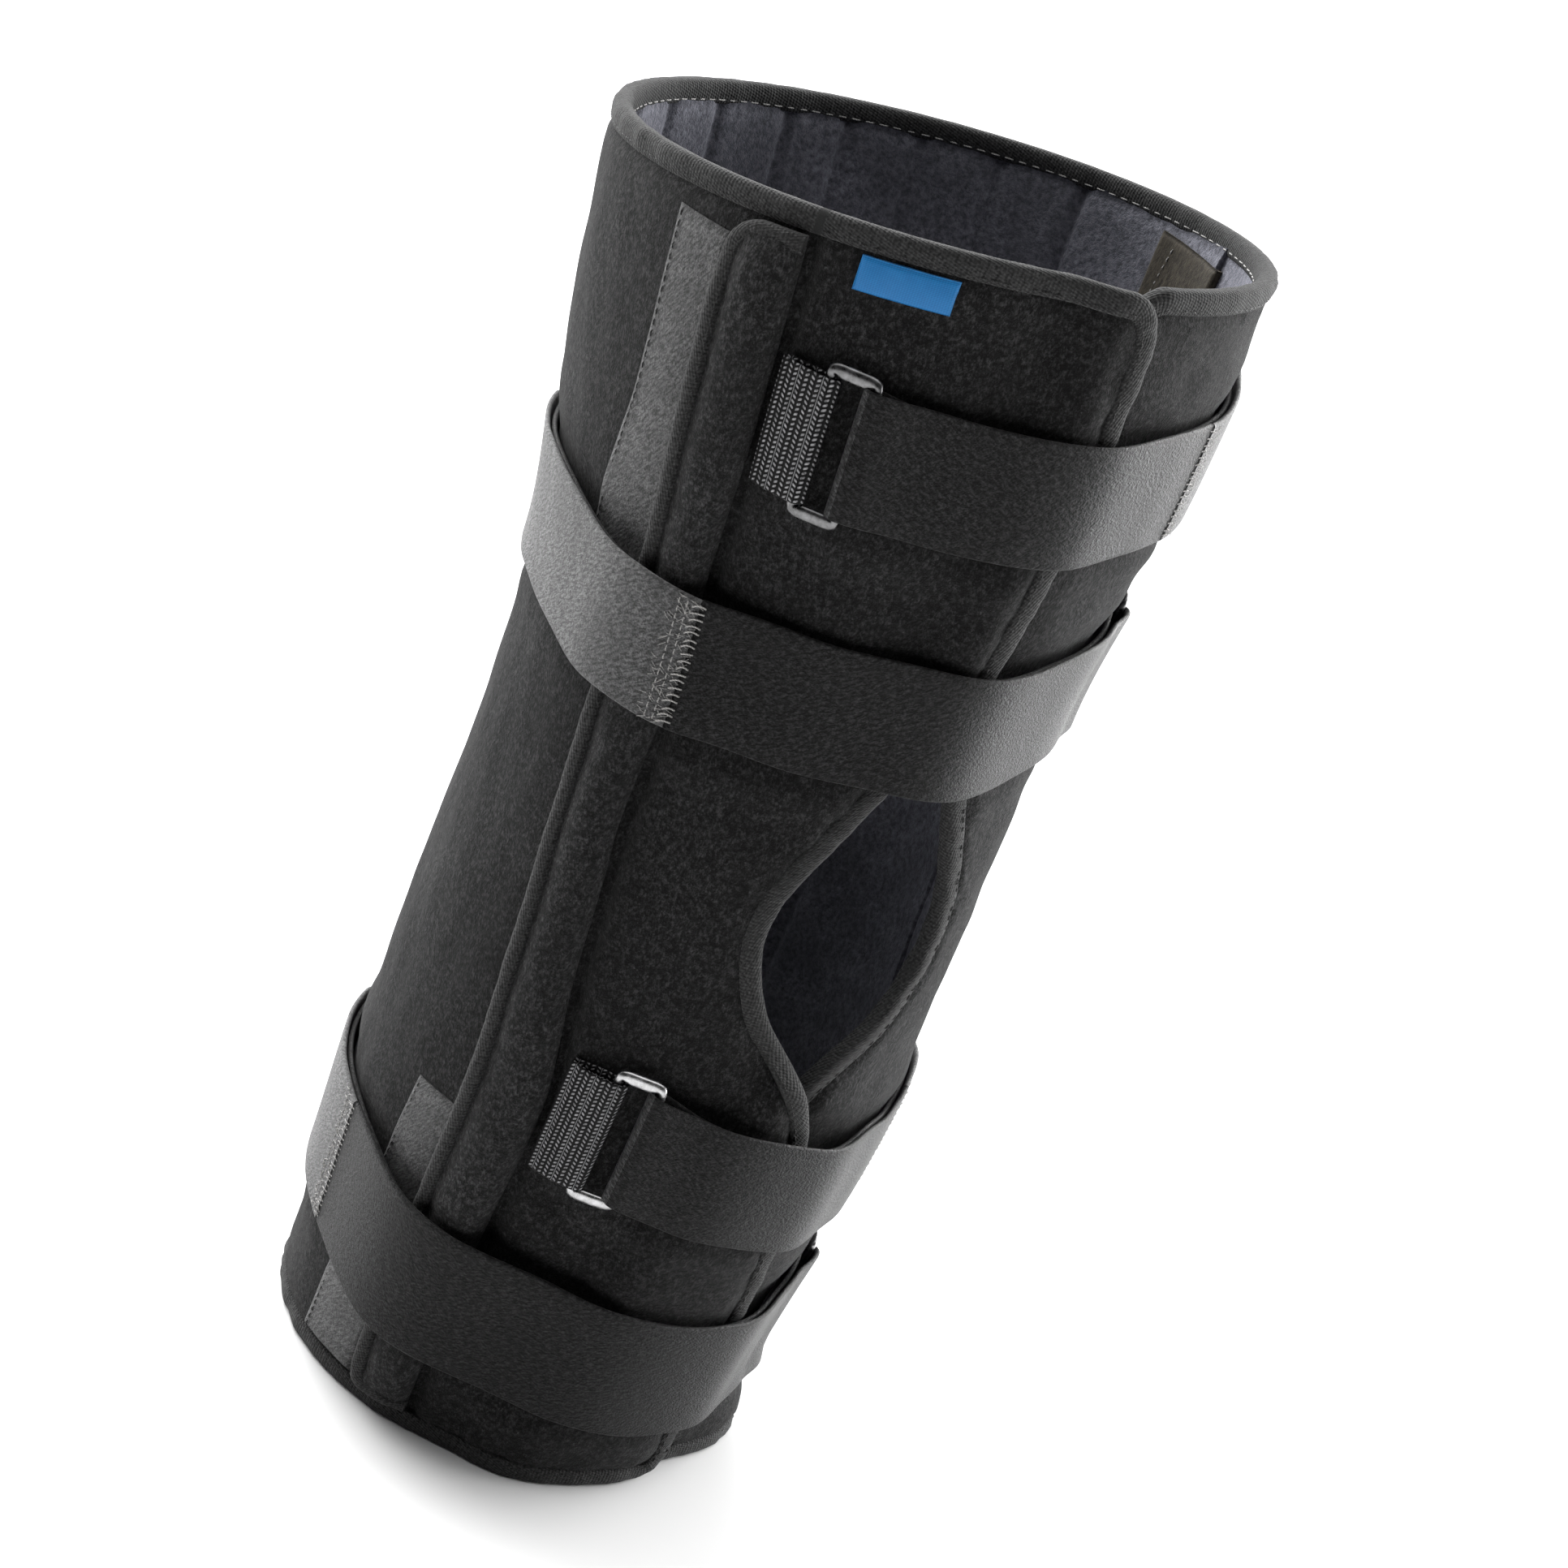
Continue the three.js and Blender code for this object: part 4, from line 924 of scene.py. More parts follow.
def front_panel(side, seed):
    rows = np.linspace(0, 1, 170)[:, None]
    cols = np.concatenate(
        [np.linspace(0, 0.16, 18)[:-1], np.linspace(0.16, 0.88, 40)[:-1], np.linspace(0.88, 1, 16)]
    )
    angle, z = panel_point(side, cols[None, :] + 0 * rows, rows, UNDER_TAPE)
    lift = side.lift(angle, z)
    from_groove = arc(angle - side.groove(z), z)
    from_front = arc(front_edge(z, UNDER_TAPE) - angle, z)
    from_rim = top_edge(side, angle, UNDER_TAPE) - z
    from_hem = z - bottom_edge(angle, UNDER_TAPE)
    nearest = np.minimum(np.minimum(from_front, from_rim), from_hem)
    sink = SEWN_DEPTH * fade(nearest, SEWN_WIDTH)
    groove_dip = GROOVE_DRAW * GROOVE_DEPTH * fade(from_groove - 0.2, 2.8)
    across = arc(angle, z)
    uneven = unevenness("panel", across, z, seed)
    gathers = 0.34 * waves(across, z, 7, seed + 3) * fade(nearest - 3, 4)
    press = strap_press(angle * side.sign, z) * ease(nearest / 8) + gathers
    outer_off = lift - np.maximum(sink, groove_dip) + uneven * ease(nearest / 6) + press
    inner_off = lift - FOAM + 0.3 + 0.2 * waves(across, z, 30, seed + 2)
    sections = slab(at(angle * side.sign, z, outer_off), at(angle * side.sign, z, inner_off))
    column = np.arange(sections.shape[1])
    inside = (column >= len(cols)) & (column < len(column) - 1)
    node = side.name + "_front_panel"
    swept_piece(
        node + "_padding", sections, [pile_cloth, lining_cloth], node,
        kinds=np.tile(inside, len(rows) - 1),
    )


front_panel(LEFT, 11)
front_panel(RIGHT, 21)


BACK_START = JOINT_BACK - JOINT_GAP + 0.1  # from the grooves to the back panel


def back_grid(rows, columns, inset):
    """Angles and heights behind the two joints, going from the right joint round to the left one."""
    t = np.linspace(0, 1, columns)[None, :]
    share = np.linspace(0, 1, rows)[:, None]
    z = share * HEIGHT + 0 * t
    for _ in range(4):
        right = -RIGHT.groove(z) + degrees(BACK_START, z)
        left = 360 + LEFT.groove(z) - degrees(BACK_START, z)
        angle = right + (left - right) * t
        z = inset + (rim(angle) - 2 * inset) * share
    return angle, z


def back_panel():
    angle, z = back_grid(150, 170, UNDER_TAPE)
    nearest = np.minimum(rim(angle) - z - UNDER_TAPE, z - UNDER_TAPE)
    sink = SEWN_DEPTH * fade(nearest, SEWN_WIDTH)
    across = np.radians(angle) * THIGH_RADIUS
    uneven = unevenness("back", across, z, 31)
    outer = at(angle, z, uneven * ease(nearest / 6) - sink + strap_press(angle, z) * ease(nearest / 8))
    inner = at(angle, z, LINING + GAP - FOAM)
    swept_piece("back_panel_padding", slab(outer, inner), pile_cloth, "back_panel")


back_panel()


def back_lining():
    angle, z = back_grid(110, 420, UNDER_TAPE)
    nearest = np.minimum(rim(angle) - z - UNDER_TAPE, z - UNDER_TAPE)
    across = np.radians(angle) * THIGH_RADIUS
    puff = unevenness("lining", across, z, 41)
    away = [np.abs(arc(angle - channel, z)) for channel in CHANNELS]
    pinch = CHANNEL_DEPTH * sum(np.exp(-((one / CHANNEL_WIDTH) ** 1.5)) for one in away)
    inward = 0.8 + 0.5 * puff - np.minimum(pinch, CHANNEL_DEPTH) - 0.9 * fade(nearest, 3)
    inner = at(angle, z, -FOAM - inward)
    outer = at(angle, z, LINING - FOAM)
    swept_piece("back_lining_plush", slab(outer, inner), lining_cloth, "back_lining")


back_lining()


# Stay pads with their beads, and the hook strips behind them
def pad_top_edge(side, angle, inset):
    distance = arc(angle - side.rear(HEIGHT), HEIGHT) - inset
    return rim(angle * side.sign) - PAD_TOP_DROP - inset - corner(PAD_TOP, inset, distance)


def pad_bottom_edge(side, angle, inset):
    return PAD_BOTTOM_RISE + inset + corner(PAD_BOTTOM, inset, arc(angle - side.rear(0), 0) - inset)


def pad_point(side, across, share, inset):
    z = share * HEIGHT + 0 * across
    for _ in range(4):
        start = side.rear(z) + degrees(inset, z)
        angle = start + (side.groove(z) - degrees(PAD_FRONT_GAP, z) - start) * across
        low = pad_bottom_edge(side, angle, inset)
        z = low + (pad_top_edge(side, angle, inset) - low) * share
    return angle, z


# Share across from the rear edge to the groove, share of the pad's thickness
PAD_CROWN = [
    (0, 0.78), (0.1, 0.93), (0.25, 1.03), (0.5, 1.1), (0.7, 1.04), (0.84, 0.86),
    (0.93, 0.56), (0.98, 0.24), (1, 0.08),
]
pad_height = curve(PAD_CROWN)
CUSHION_EDGE = BEAD_WIDTH - 1.5  # the cushion's edge lies under the bead


PAD_THIN = 0.62  # share of its thickness that the cushion keeps at its ends
PAD_FULL_FROM = (20, 24)  # below the pad's top and above its foot


def pad_fullness(side, angle, z):
    """The cushion thins out where it is sewn down under the rim and over the hem."""
    below = pad_top_edge(side, angle, 0) - z
    above = z - PAD_BOTTOM_RISE
    inwards = np.minimum(below / PAD_FULL_FROM[0], above / PAD_FULL_FROM[1])
    return PAD_THIN + (1 - PAD_THIN) * ease(inwards + 0.12)


def stay_pad(side, seed):
    cols = np.concatenate([np.linspace(0, 0.8, 22)[:-1], np.linspace(0.8, 1, 14)])
    rows = np.linspace(0, 1, 190)[:, None]
    angle, z = pad_point(side, cols[None, :] + 0 * rows, rows, CUSHION_EDGE)
    below = pad_top_edge(side, angle, CUSHION_EDGE) - z
    above = z - pad_bottom_edge(side, angle, CUSHION_EDGE)
    beside = arc(angle - side.rear(z), z) - BEAD_WIDTH
    nearest = np.minimum(np.minimum(below, above), beside)
    sink = 1.7 * fade(np.maximum(nearest, 0), 2.6)
    uneven = unevenness("pad", arc(angle, z), z, seed)
    press = strap_press(angle * side.sign, z) * 0.6
    full = pad_fullness(side, angle, z)
    crown = PAD_LIFT + PAD_THICK * pad_height(cols)[None, :] * full
    off = crown - sink * full + (uneven + press) * ease(cols * 8)[None, :]
    outer = at(angle * side.sign, z, np.maximum(off, PAD_LIFT + 0.5))
    inner = at(angle * side.sign, z, PAD_LIFT - 0.3)
    node = side.name + "_stay_pad"
    swept_piece(node + "_cushion", slab(outer, inner), pad_cloth, node)


# Bead section: share of the bead's width from the pad's edge inwards, height over the bead's top
BEAD_SECTION = [
    (1.0, -2.2), (1.0, -0.5), (0.85, 0.0), (0.55, 0.35), (0.25, 0.15), (0.05, -0.8), (0, -2.0),
    (0, -4.6), (0.05, -5.8), (0.4, -6.3), (1.0, -6.3),
]
BEAD_SEAM = 0.88  # share of the bead's width where it is stitched


def pad_outline(side, inset):
    """One pad's outline: top, rear edge, foot."""
    edges = (side.rear(HEIGHT), side.rear(0))
    starts = [side.groove(z) - degrees(PAD_FRONT_GAP, z) for z in (HEIGHT, 0)]
    middle = pad_point(side, 0.0, np.linspace(1, 0, 200)[1:-1], inset)
    margins = (PAD_TOP_DROP, PAD_BOTTOM_RISE)
    return outline(side, inset, 1, edges, starts, margins, (PAD_TOP, PAD_BOTTOM), middle, (12, 10))


def pad_binding(side):
    edge = pad_outline(side, 0)
    inside = pad_outline(side, BEAD_WIDTH)
    along = lengths(at(edge[0], edge[1], 0))
    pucker = unevenness("bead", along, 0, 51)
    top = PAD_LIFT + PAD_THICK * 0.9
    sections = []
    full = pad_fullness(side, edge[0], edge[1])
    turned_in = 1 - 0.55 * ease((edge[0] - side.rear(edge[1]) - 10) / 5)
    for share, off in BEAD_SECTION:
        angle, z = between(edge, inside, share)
        height = (top + off) * full * turned_in + (pucker if off > -2 else 0)
        sections.append(at(angle * side.sign, z, np.maximum(height, PAD_LIFT * 0.6)))
    sections = np.stack(sections, 1)
    swept_piece(side.name + "_pad_bead", sections, tape_cloth, side.name + "_pad_binding")
    angle, z = between(edge, inside, BEAD_SEAM)
    angle = angle * side.sign
    sewing.run(at(angle, z, (top + 0.05) * full * turned_in), outward_at(angle, z), "bead")


def hook_strip(side, name, rows):
    outer_edge = curve([(share * HEIGHT, angle) for share, angle in rows])
    low, high = rows[0][0] * HEIGHT, rows[-1][0] * HEIGHT
    z = np.linspace(low, high, 90)[:, None]
    start = outer_edge(z) - side.shift
    stop = np.minimum(start + degrees(HOOK_WIDTH, z), side.rear(z) - degrees(0.6, z))
    t = np.linspace(0, 1, 22)[None, :]
    angle = start + (stop - start) * t
    height = z + 0 * t
    edge = np.minimum(np.minimum(t, 1 - t) * 20, np.minimum(height - low, high - height) / 1.2)
    soft = HOOK_THICK * np.sqrt(np.clip(edge, 0.05, 1)) + 0.12 * waves(arc(angle, height), height, 18, 61)
    off = 0.15 + soft + 0.4 * strap_press(angle * side.sign, height)
    outer = at(angle * side.sign, height, off)
    inner = at(angle * side.sign, height, -1.0)
    node = side.name + "_" + name
    swept_piece(node + "_tape", slab(outer, inner), strip_cloth, node)
    seam = (start[:, 0] + (stop - start)[:, 0] * 0.09) * side.sign
    sewing.run(at(seam, z[:, 0], HOOK_THICK + 0.2), outward_at(seam, z[:, 0]), "strip")


for side, seed in ((LEFT, 71), (RIGHT, 81)):
    stay_pad(side, seed)
    pad_binding(side)
    for name, rows in HOOKS.items():
        hook_strip(side, name, rows)


# Straps
def outer_face(angle, z, pad_side):
    """Outermost face of everything that a strap lies on."""
    turn = (angle + 180) % 360 - 180
    side = LEFT if turn < 0 else RIGHT
    own_angle = turn * side.sign
    face = 0.0
    if -40 < turn < front_at(z) + 1:
        face = float(LEFT.lift(turn, z)) + 0.15
    if side is not pad_side:
        return face
    rear, groove = side.rear(z), side.groove(z)
    if rear - 1 < own_angle < groove - degrees(PAD_FRONT_GAP, z):
        t = (own_angle - rear) / (groove - rear)
        face = PAD_LIFT + PAD_THICK * (1.12 - 0.6 * max(0, t - 0.82))
    if rear - degrees(HOOK_WIDTH, z) < own_angle <= rear - 1:
        face = 2 * GAP + HOOK_THICK
    return face


def turn_of(o, a, b):
    return (a[0] - o[0]) * (b[1] - o[1]) - (a[1] - o[1]) * (b[0] - o[0])


def hull_chain(spots):
    chain = []
    for p in spots:
        while len(chain) > 1 and turn_of(chain[-2], chain[-1], p) <= 0:
            chain.pop()
        chain.append(p)
    return chain[:-1]


def taut(line, half, pad_side):
    """Stand-off of a pulled strap: the convex hull of the outermost face under its width."""
    middle = float(radius(line(0)))
    spots = []
    for angle in range(-180, 180, 2):
        faces = [outer_face(angle, float(line(angle)) + t * half, pad_side) for t in (-1, -0.5, 0, 0.5, 1)]
        r = middle + max(faces)
        spots.append((r * math.sin(math.radians(angle)), -r * math.cos(math.radians(angle))))
    spots.sort()
    hull = np.array(hull_chain(spots) + hull_chain(spots[::-1]))
    turns = np.degrees(np.arctan2(hull[:, 0], -hull[:, 1]))
    order = np.argsort(turns)
    hull, turns = hull[order], turns[order]
    hull = np.concatenate([hull[-1:], hull, hull[:1]])
    turns = np.concatenate([[turns[-1] - 360], turns, [turns[0] + 360]])

    def stand_off(angle):
        angle = np.asarray(angle, float)
        i = np.clip(np.searchsorted(turns, angle) - 1, 0, len(turns) - 2)
        a, b = hull[i], hull[i + 1]
        dx, dy = np.sin(np.radians(angle)), -np.cos(np.radians(angle))
        cross = dx * (b[..., 1] - a[..., 1]) - dy * (b[..., 0] - a[..., 0])
        s = (a[..., 0] * (b[..., 1] - a[..., 1]) - a[..., 1] * (b[..., 0] - a[..., 0])) / cross
        return s - middle

    return stand_off


def softened(stand_off, from_angle, to_angle):
    """The stand-off with its kinks rounded as cloth rounds them."""
    grid = np.arange(min(from_angle, to_angle) - 20, max(from_angle, to_angle) + 20, 0.5)
    values = stand_off(grid)

    def blur(numbers, reach):
        kernel = np.hanning(2 * reach + 1)
        return np.convolve(np.pad(numbers, reach, "edge"), kernel / kernel.sum(), "valid")

    smooth = blur(np.maximum(blur(values, 22), values - 0.75), 5)

    def rounded(angle):
        return np.interp(angle, grid, smooth)

    return rounded


BASE = STRAP_CLEAR + STRAP_THICK / 2
WRAP = WIRE / 2 + RING_GAP + STRAP_THICK / 2
WEB_WRAP = WIRE / 2 + RING_GAP + WEB_THICK / 2
LOWER_PITCH, UPPER_PITCH, TAB_PITCH = 1.6, 1.2, 0.9  # degrees from one section to the next
FOLD_TURNS = np.radians(np.arange(8, 176, 9.3))  # places on the fold, round the ring's bar
RING_NEAR = 16  # length beside the ring over which the upper layer comes down
TUCK_ROWS = 6  # sections over which the lower layer widens to the fold
WEB_ROOT = 1.6  # from the groove to the webbing's sewn end
WEB_RISE = 0.6


def band_profile(thick, width, sides=9):
    """Closed section of a strap: across and through, in millimetres, with round selvages."""
    half = width / 2 - thick / 2
    flat = np.linspace(-half, half, sides)
    turn = np.radians([-60, -30, 0, 30, 60])
    across = np.concatenate(
        [flat, half + np.cos(turn[::-1]) * thick / 2, flat[::-1], -half - np.cos(turn) * thick / 2]
    )
    through = np.concatenate(
        [np.full(sides, 0.5), np.sin(turn[::-1]) / 2, np.full(sides, -0.5), np.sin(turn) / 2]
    ) * thick
    return across, through


def band(places, profile, line, face, reach, widths=None, seed=1):
    """Sections of a band through places of (angle, stand-off, tilt), in the frame of a strap."""
    across, through = profile
    angle, off, tilt = (np.array(column, float)[:, None] for column in zip(*places))
    widths = np.ones(len(places)) if widths is None else np.asarray(widths)
    slide = np.sin(np.radians(tilt)) * through
    rise = np.cos(np.radians(tilt)) * through
    along = np.cumsum(np.abs(np.gradient(angle[:, 0]))) * 1.4
    edge_wave = 0.35 * waves(along, 0, 34, seed)
    body_wave = 0.12 * waves(along, 0, 20, seed + 1)
    z = line(angle) + across[None, :] * widths[:, None] + edge_wave[:, None]
    return at(angle + reach(slide), z, face(angle) + off + rise + body_wave[:, None])


def smooth_places(places, count):
    """More places along a path, on a smooth line through the given ones."""
    rows = np.array(places, float)
    t = np.arange(len(rows))
    fine = np.linspace(0, len(rows) - 1, count)
    return list(zip(*(curve(list(zip(t, rows[:, k])))(fine) for k in range(3))))


def make_strap(name, strap, seed):
    line = strap_line(strap)
    way = 1 if strap["sewn"] > strap["ring"] else -1
    wide = strap["width"] * STRAP_WIDTH
    raw_face = taut(line, wide / 2, RIGHT if way > 0 else LEFT)
    face = softened(raw_face, strap["sewn"], strap["ring"] - way * 16)
    ring_z = float(line(strap["ring"]))

    def reach(mm):
        return degrees(mm, ring_z) * way

    strap_bar = strap["ring"] + reach(RING_REACH / 2)
    web_bar = strap["ring"] - reach(RING_REACH / 2)
    bar_off = BASE + WRAP

    def near_ring(angle):
        return ease(1 - abs(angle - strap_bar) / abs(reach(RING_NEAR)))

    def upper(angle):
        return BASE + LAYER_STEP + (2 * WRAP - LAYER_STEP) * near_ring(angle)

    low_end = strap_bar + reach(0.6)
    lower_count = int(abs(strap["sewn"] - low_end) / LOWER_PITCH)
    lower_layer = [(a, BASE, 0) for a in np.linspace(strap["sewn"], low_end, lower_count)]
    fold = [
        (strap_bar - reach(WRAP * math.sin(phi)), bar_off - WRAP * math.cos(phi), math.degrees(phi))
        for phi in FOLD_TURNS
    ]
    upper_count = int(abs(strap["seam"] - low_end) / UPPER_PITCH)
    upper_layer = [(a, upper(a), 180) for a in np.linspace(low_end, strap["seam"], upper_count)]
    profile = band_profile(STRAP_THICK, wide)
    narrow = 1 - STRAP_TUCK / wide
    tucked = np.concatenate([np.full(lower_count, narrow), np.ones(len(fold) + upper_count)])
    tucked[lower_count - TUCK_ROWS : lower_count] = np.linspace(narrow, 1, TUCK_ROWS)
    sections = band(lower_layer + fold + upper_layer, profile, line, face, reach, tucked, seed)
    row = np.arange(len(sections) - 1)
    # Rows of the fold round the bar take the lighter cloth: painted highlight together with wear
    lighter_places = (row >= lower_count + 7) & (row <= lower_count + len(fold) - 5)
    kinds = np.repeat(lighter_places, sections.shape[1])
    swept_piece(name + "_band", sections, [strap_cloth, fold_wear_and_highlight_cloth], name, kinds=kinds)

    tab_from = strap["seam"] + reach(0.25)
    angles = np.linspace(tab_from, strap["tab"], int(abs(strap["tab"] - tab_from) / TAB_PITCH))
    left_over = arc(np.abs(strap["tab"] - angles), line(strap["seam"]))
    t = np.clip(1 - left_over / TAB_ROUNDING, 0, 0.985)
    widths = 1 - (1 - np.sqrt(1 - t * t)) * 2 * TAB_ROUNDING / wide
    tab = [(a, BASE + LAYER_STEP + 0.1, 180) for a in angles]
    sections = band(tab, band_profile(STRAP_THICK, wide - TAB_TRIM), line, face, reach, widths, seed + 2)
    swept_piece(name + "_hook_tab", sections, tab_cloth, name + "_tab")
    overlock(strap, line, face, way, wide)
    sewn_end(strap, line, face, way, wide)

    root_side = LEFT if strap["ring"] < 0 else RIGHT
    root = root_side.groove(ring_z) * root_side.sign + reach(WEB_ROOT)
    web = [
        (root, WEB_THICK / 2 + WEB_RISE, 0),
        (root + (web_bar - root) * 0.55, bar_off - WEB_WRAP - WEB_RISE, 0),
    ]
    for phi in range(0, 181, 12):
        beside, beyond = WEB_WRAP * math.sin(math.radians(phi)), WEB_WRAP * math.cos(math.radians(phi))
        web.append((web_bar + reach(beside), bar_off - beyond, -phi))
    web.append((root + (web_bar - root) * 0.45, bar_off + WEB_WRAP * 0.55, -180))
    web.append((root, WEB_THICK * 1.5 + 2 * WEB_RISE, -180))

    def level(angle):
        return ring_z + 0 * np.asarray(angle, float)

    profile = band_profile(WEB_THICK, wide - WEB_THICK, 31)
    sections = band(smooth_places(web, 110), profile, level, face, reach, seed=seed + 4)
    swept_piece(name + "_webbing_loop", sections, web_cloth, name + "_webbing")
    make_ring(name, strap, line, face, reach, wide, bar_off)


WIRE_SIDES = 16
RING_PLACES = 160
DARK_RINGS = ("thigh_strap", "above_knee_strap")


def make_ring(name, strap, line, face, reach, wide, bar_off):
    """Rectangular wire ring with rounded corners, following the face it lies on."""
    half_high = wide / 2 + RING_SLACK + WIRE / 2
    half_wide = RING_REACH / 2
    spots = []
    for sx, sz, first in ((1, 1, 0), (-1, 1, 90), (-1, -1, 180), (1, -1, 270)):
        for phi in np.radians(first + np.linspace(0, 90, 12)):
            beside = sx * (half_wide - RING_BEND) + RING_BEND * math.cos(phi)
            spots.append((beside, sz * (half_high - RING_BEND) + RING_BEND * math.sin(phi)))
    ring = np.array(spots)
    closed = np.concatenate([ring, ring[:1]])
    along = lengths(closed)
    s = np.linspace(0, along[-1], RING_PLACES + 1)[:-1]
    ring = np.stack([np.interp(s, along, closed[:, k]) for k in range(2)], -1)
    way = np.roll(ring, -1, 0) - np.roll(ring, 1, 0)
    out = unit(np.stack([way[:, 1], -way[:, 0]], -1))
    turn = np.arange(WIRE_SIDES) * 2 * math.pi / WIRE_SIDES
    flat = WIRE / 2 * (1 + 0.6 * ease((np.abs(out[:, 1:]) - 0.3) / 0.6))
    px = ring[:, :1] + out[:, :1] * np.cos(turn) * flat
    py = ring[:, 1:] + out[:, 1:] * (np.cos(turn) * flat + WIRE / 2 - flat)
    angle = strap["ring"] + reach(px)
    sections = at(angle, line(strap["ring"]) + py, face(angle) + bar_off + np.sin(turn) * WIRE / 2)
    finish = dark_wire if name in DARK_RINGS else light_wire
    swept_piece(name + "_wire_ring", sections, finish, name + "_ring", closed=True)


OVERLOCK_PITCH = 2.1
STRAY_FIBRES = 5  # for each overlock loop
SEAM_ROWS = (3.2, 5.2)  # rows of stitches beyond the seam
BOX = (3, 22)  # the sewn box, from the strap's end
BOX_MARGIN = 4  # from the strap's edges to the box


def sewn_end(strap, line, face, way, wide):
    """A box of stitches where a strap is sewn to the back panel."""
    z_mid = float(line(strap["sewn"]))
    off = BASE + STRAP_THICK / 2 + 0.12
    across = np.linspace(BOX_MARGIN - wide / 2, wide / 2 - BOX_MARGIN, 30)
    around = np.linspace(*BOX, 24)
    rows = [(np.full(30, mm), across) for mm in BOX]
    rows += [(around, np.full(24, across[end])) for end in (0, -1)]
    rows += [(around, np.linspace(across[0], across[-1], 24) * flip) for flip in (1, -1)]
    for mm, height in rows:
        angle = strap["sewn"] - way * degrees(mm, z_mid)
        spots = at(angle, line(angle) + height, face(angle) + off)
        sewing.run(spots, outward_at(angle, line(angle)), "box")


def overlock(strap, line, face, way, wide):
    """Light overlock loops over the seam between a strap and its hook tab."""
    off = BASE + LAYER_STEP + STRAP_THICK / 2
    z_mid = float(line(strap["seam"]))
    count = int(wide / OVERLOCK_PITCH)
    chance = np.random.default_rng(count + int(z_mid))
    for i in range(count):
        height = -wide / 2 + 1.2 + (i + 0.5) * (wide - 2.4) / count + chance.uniform(-0.3, 0.3)
        s = np.linspace(0, 1, 9)
        out = 0.3 + 0.55 * np.sin(s * math.pi)
        step = -0.6 + (3.0 + chance.uniform(-0.6, 0.6)) * s
        shift = chance.uniform(0.3, 0.9) * np.sin(s * math.pi) - 0.9 * s
        angle = strap["seam"] - 0.4 * way + way * degrees(step, z_mid)
        spots = at(angle, line(angle) + height + shift, face(angle) + off + out - 0.25)
        bright_sewing.add(thread(spots, outward_at(angle, line(angle)), strap["loop"], 6))
    for i in range(count * STRAY_FIBRES):
        height = chance.uniform(-wide / 2 + 1, wide / 2 - 1)
        s = np.linspace(0, 1, 4) * chance.uniform(0.8, 2.0)
        start, lean = chance.uniform(-0.8, 6.5), chance.uniform(-1.2, 1.2)
        angle = strap["seam"] + way * degrees(start + s, z_mid)
        spots = at(angle, line(angle) + height + lean * s, face(angle) + off + 0.08 + 0.2 * np.sin(s * 2))
        bright_sewing.add(thread(spots, outward_at(angle, line(angle)), 0.2, 4))
    for shift in SEAM_ROWS:
        angle = strap["seam"] + way * degrees(shift, z_mid)
        heights = np.linspace(-wide / 2 + 1, wide / 2 - 1, 40)
        spots = at(angle, line(angle) + heights, face(angle) + off + 0.12)
        bright_sewing.run(spots, outward_at(angle, heights + z_mid), "seam")


for number, (name, strap) in enumerate(STRAPS.items()):
    make_strap(name, strap, 100 + 10 * number)


# Label and inner patch
def label():
    t = np.linspace(0, 1, 60)[None, :]
    rows = np.linspace(0, 1, 24)[:, None]
    angle = LABEL_ANGLES[0] + (LABEL_ANGLES[1] - LABEL_ANGLES[0]) * t + 0 * rows
    z = rim(angle) - BINDING_WIDTH - LABEL_DROP - LABEL_HEIGHT * (1 - rows)
    edge = np.minimum(np.minimum(t, 1 - t) * 26, np.minimum(rows, 1 - rows) * 9)
    bow = 0.35 * np.sin(np.pi * rows) + 0.12 * waves(arc(angle, z), z, 9, 91)
    outer = at(angle, z, 0.2 + LABEL_THICK * np.sqrt(np.clip(edge + 0.1, 0, 1)) + bow * ease(edge))
    inner = at(angle, z, -0.8)
    swept_piece("label_bare", slab(outer, inner), label_cloth, "label")


def inner_patch():
    rows = np.linspace(PATCH_SHARES[0], PATCH_SHARES[1], 60)[:, None] * HEIGHT
    t = np.linspace(0, 1, 60)[None, :]
    angle = PATCH_ANGLES[0] + (PATCH_ANGLES[1] - PATCH_ANGLES[0]) * t + 0 * rows
    z = rows + 0 * t
    edge = np.minimum(np.minimum(t, 1 - t) * 26, np.minimum(z - rows[0], rows[-1] - z) / 1.5)
    soft = 0.2 + HOOK_THICK * np.sqrt(np.clip(edge + 0.05, 0, 1)) + 0.15 * waves(arc(angle, z), z, 14, 95)
    inner = at(angle, z, -FOAM - 0.7 - soft)
    outer = at(angle, z, -FOAM + 0.3)
    swept_piece("inner_patch_cloth", slab(outer, inner), patch_cloth, "inner_patch")
    heights = np.linspace(z.min() + 2, z.max() - 2, 50)
    lean = PATCH_ANGLES[1] - 2.2 - 3.0 * ((heights - z.min()) / (z.max() - z.min())) ** 2
    bright_sewing.run(at(lean, heights, -FOAM - 1.9), -outward_at(lean, heights), "patch")


label()
inner_patch()
sewing.piece("dark_stitching", dark_thread, "edge_tape")
bright_sewing.piece("light_stitching", light_thread, "hook_fabric")

# Camera at the photograph's angle
CAMERA = dict(
    azimuth=-40.0, elevation=22.54, roll=22.08, distance=950.0, aim_right=21.1, aim_up=215.13, lens=72.87
)


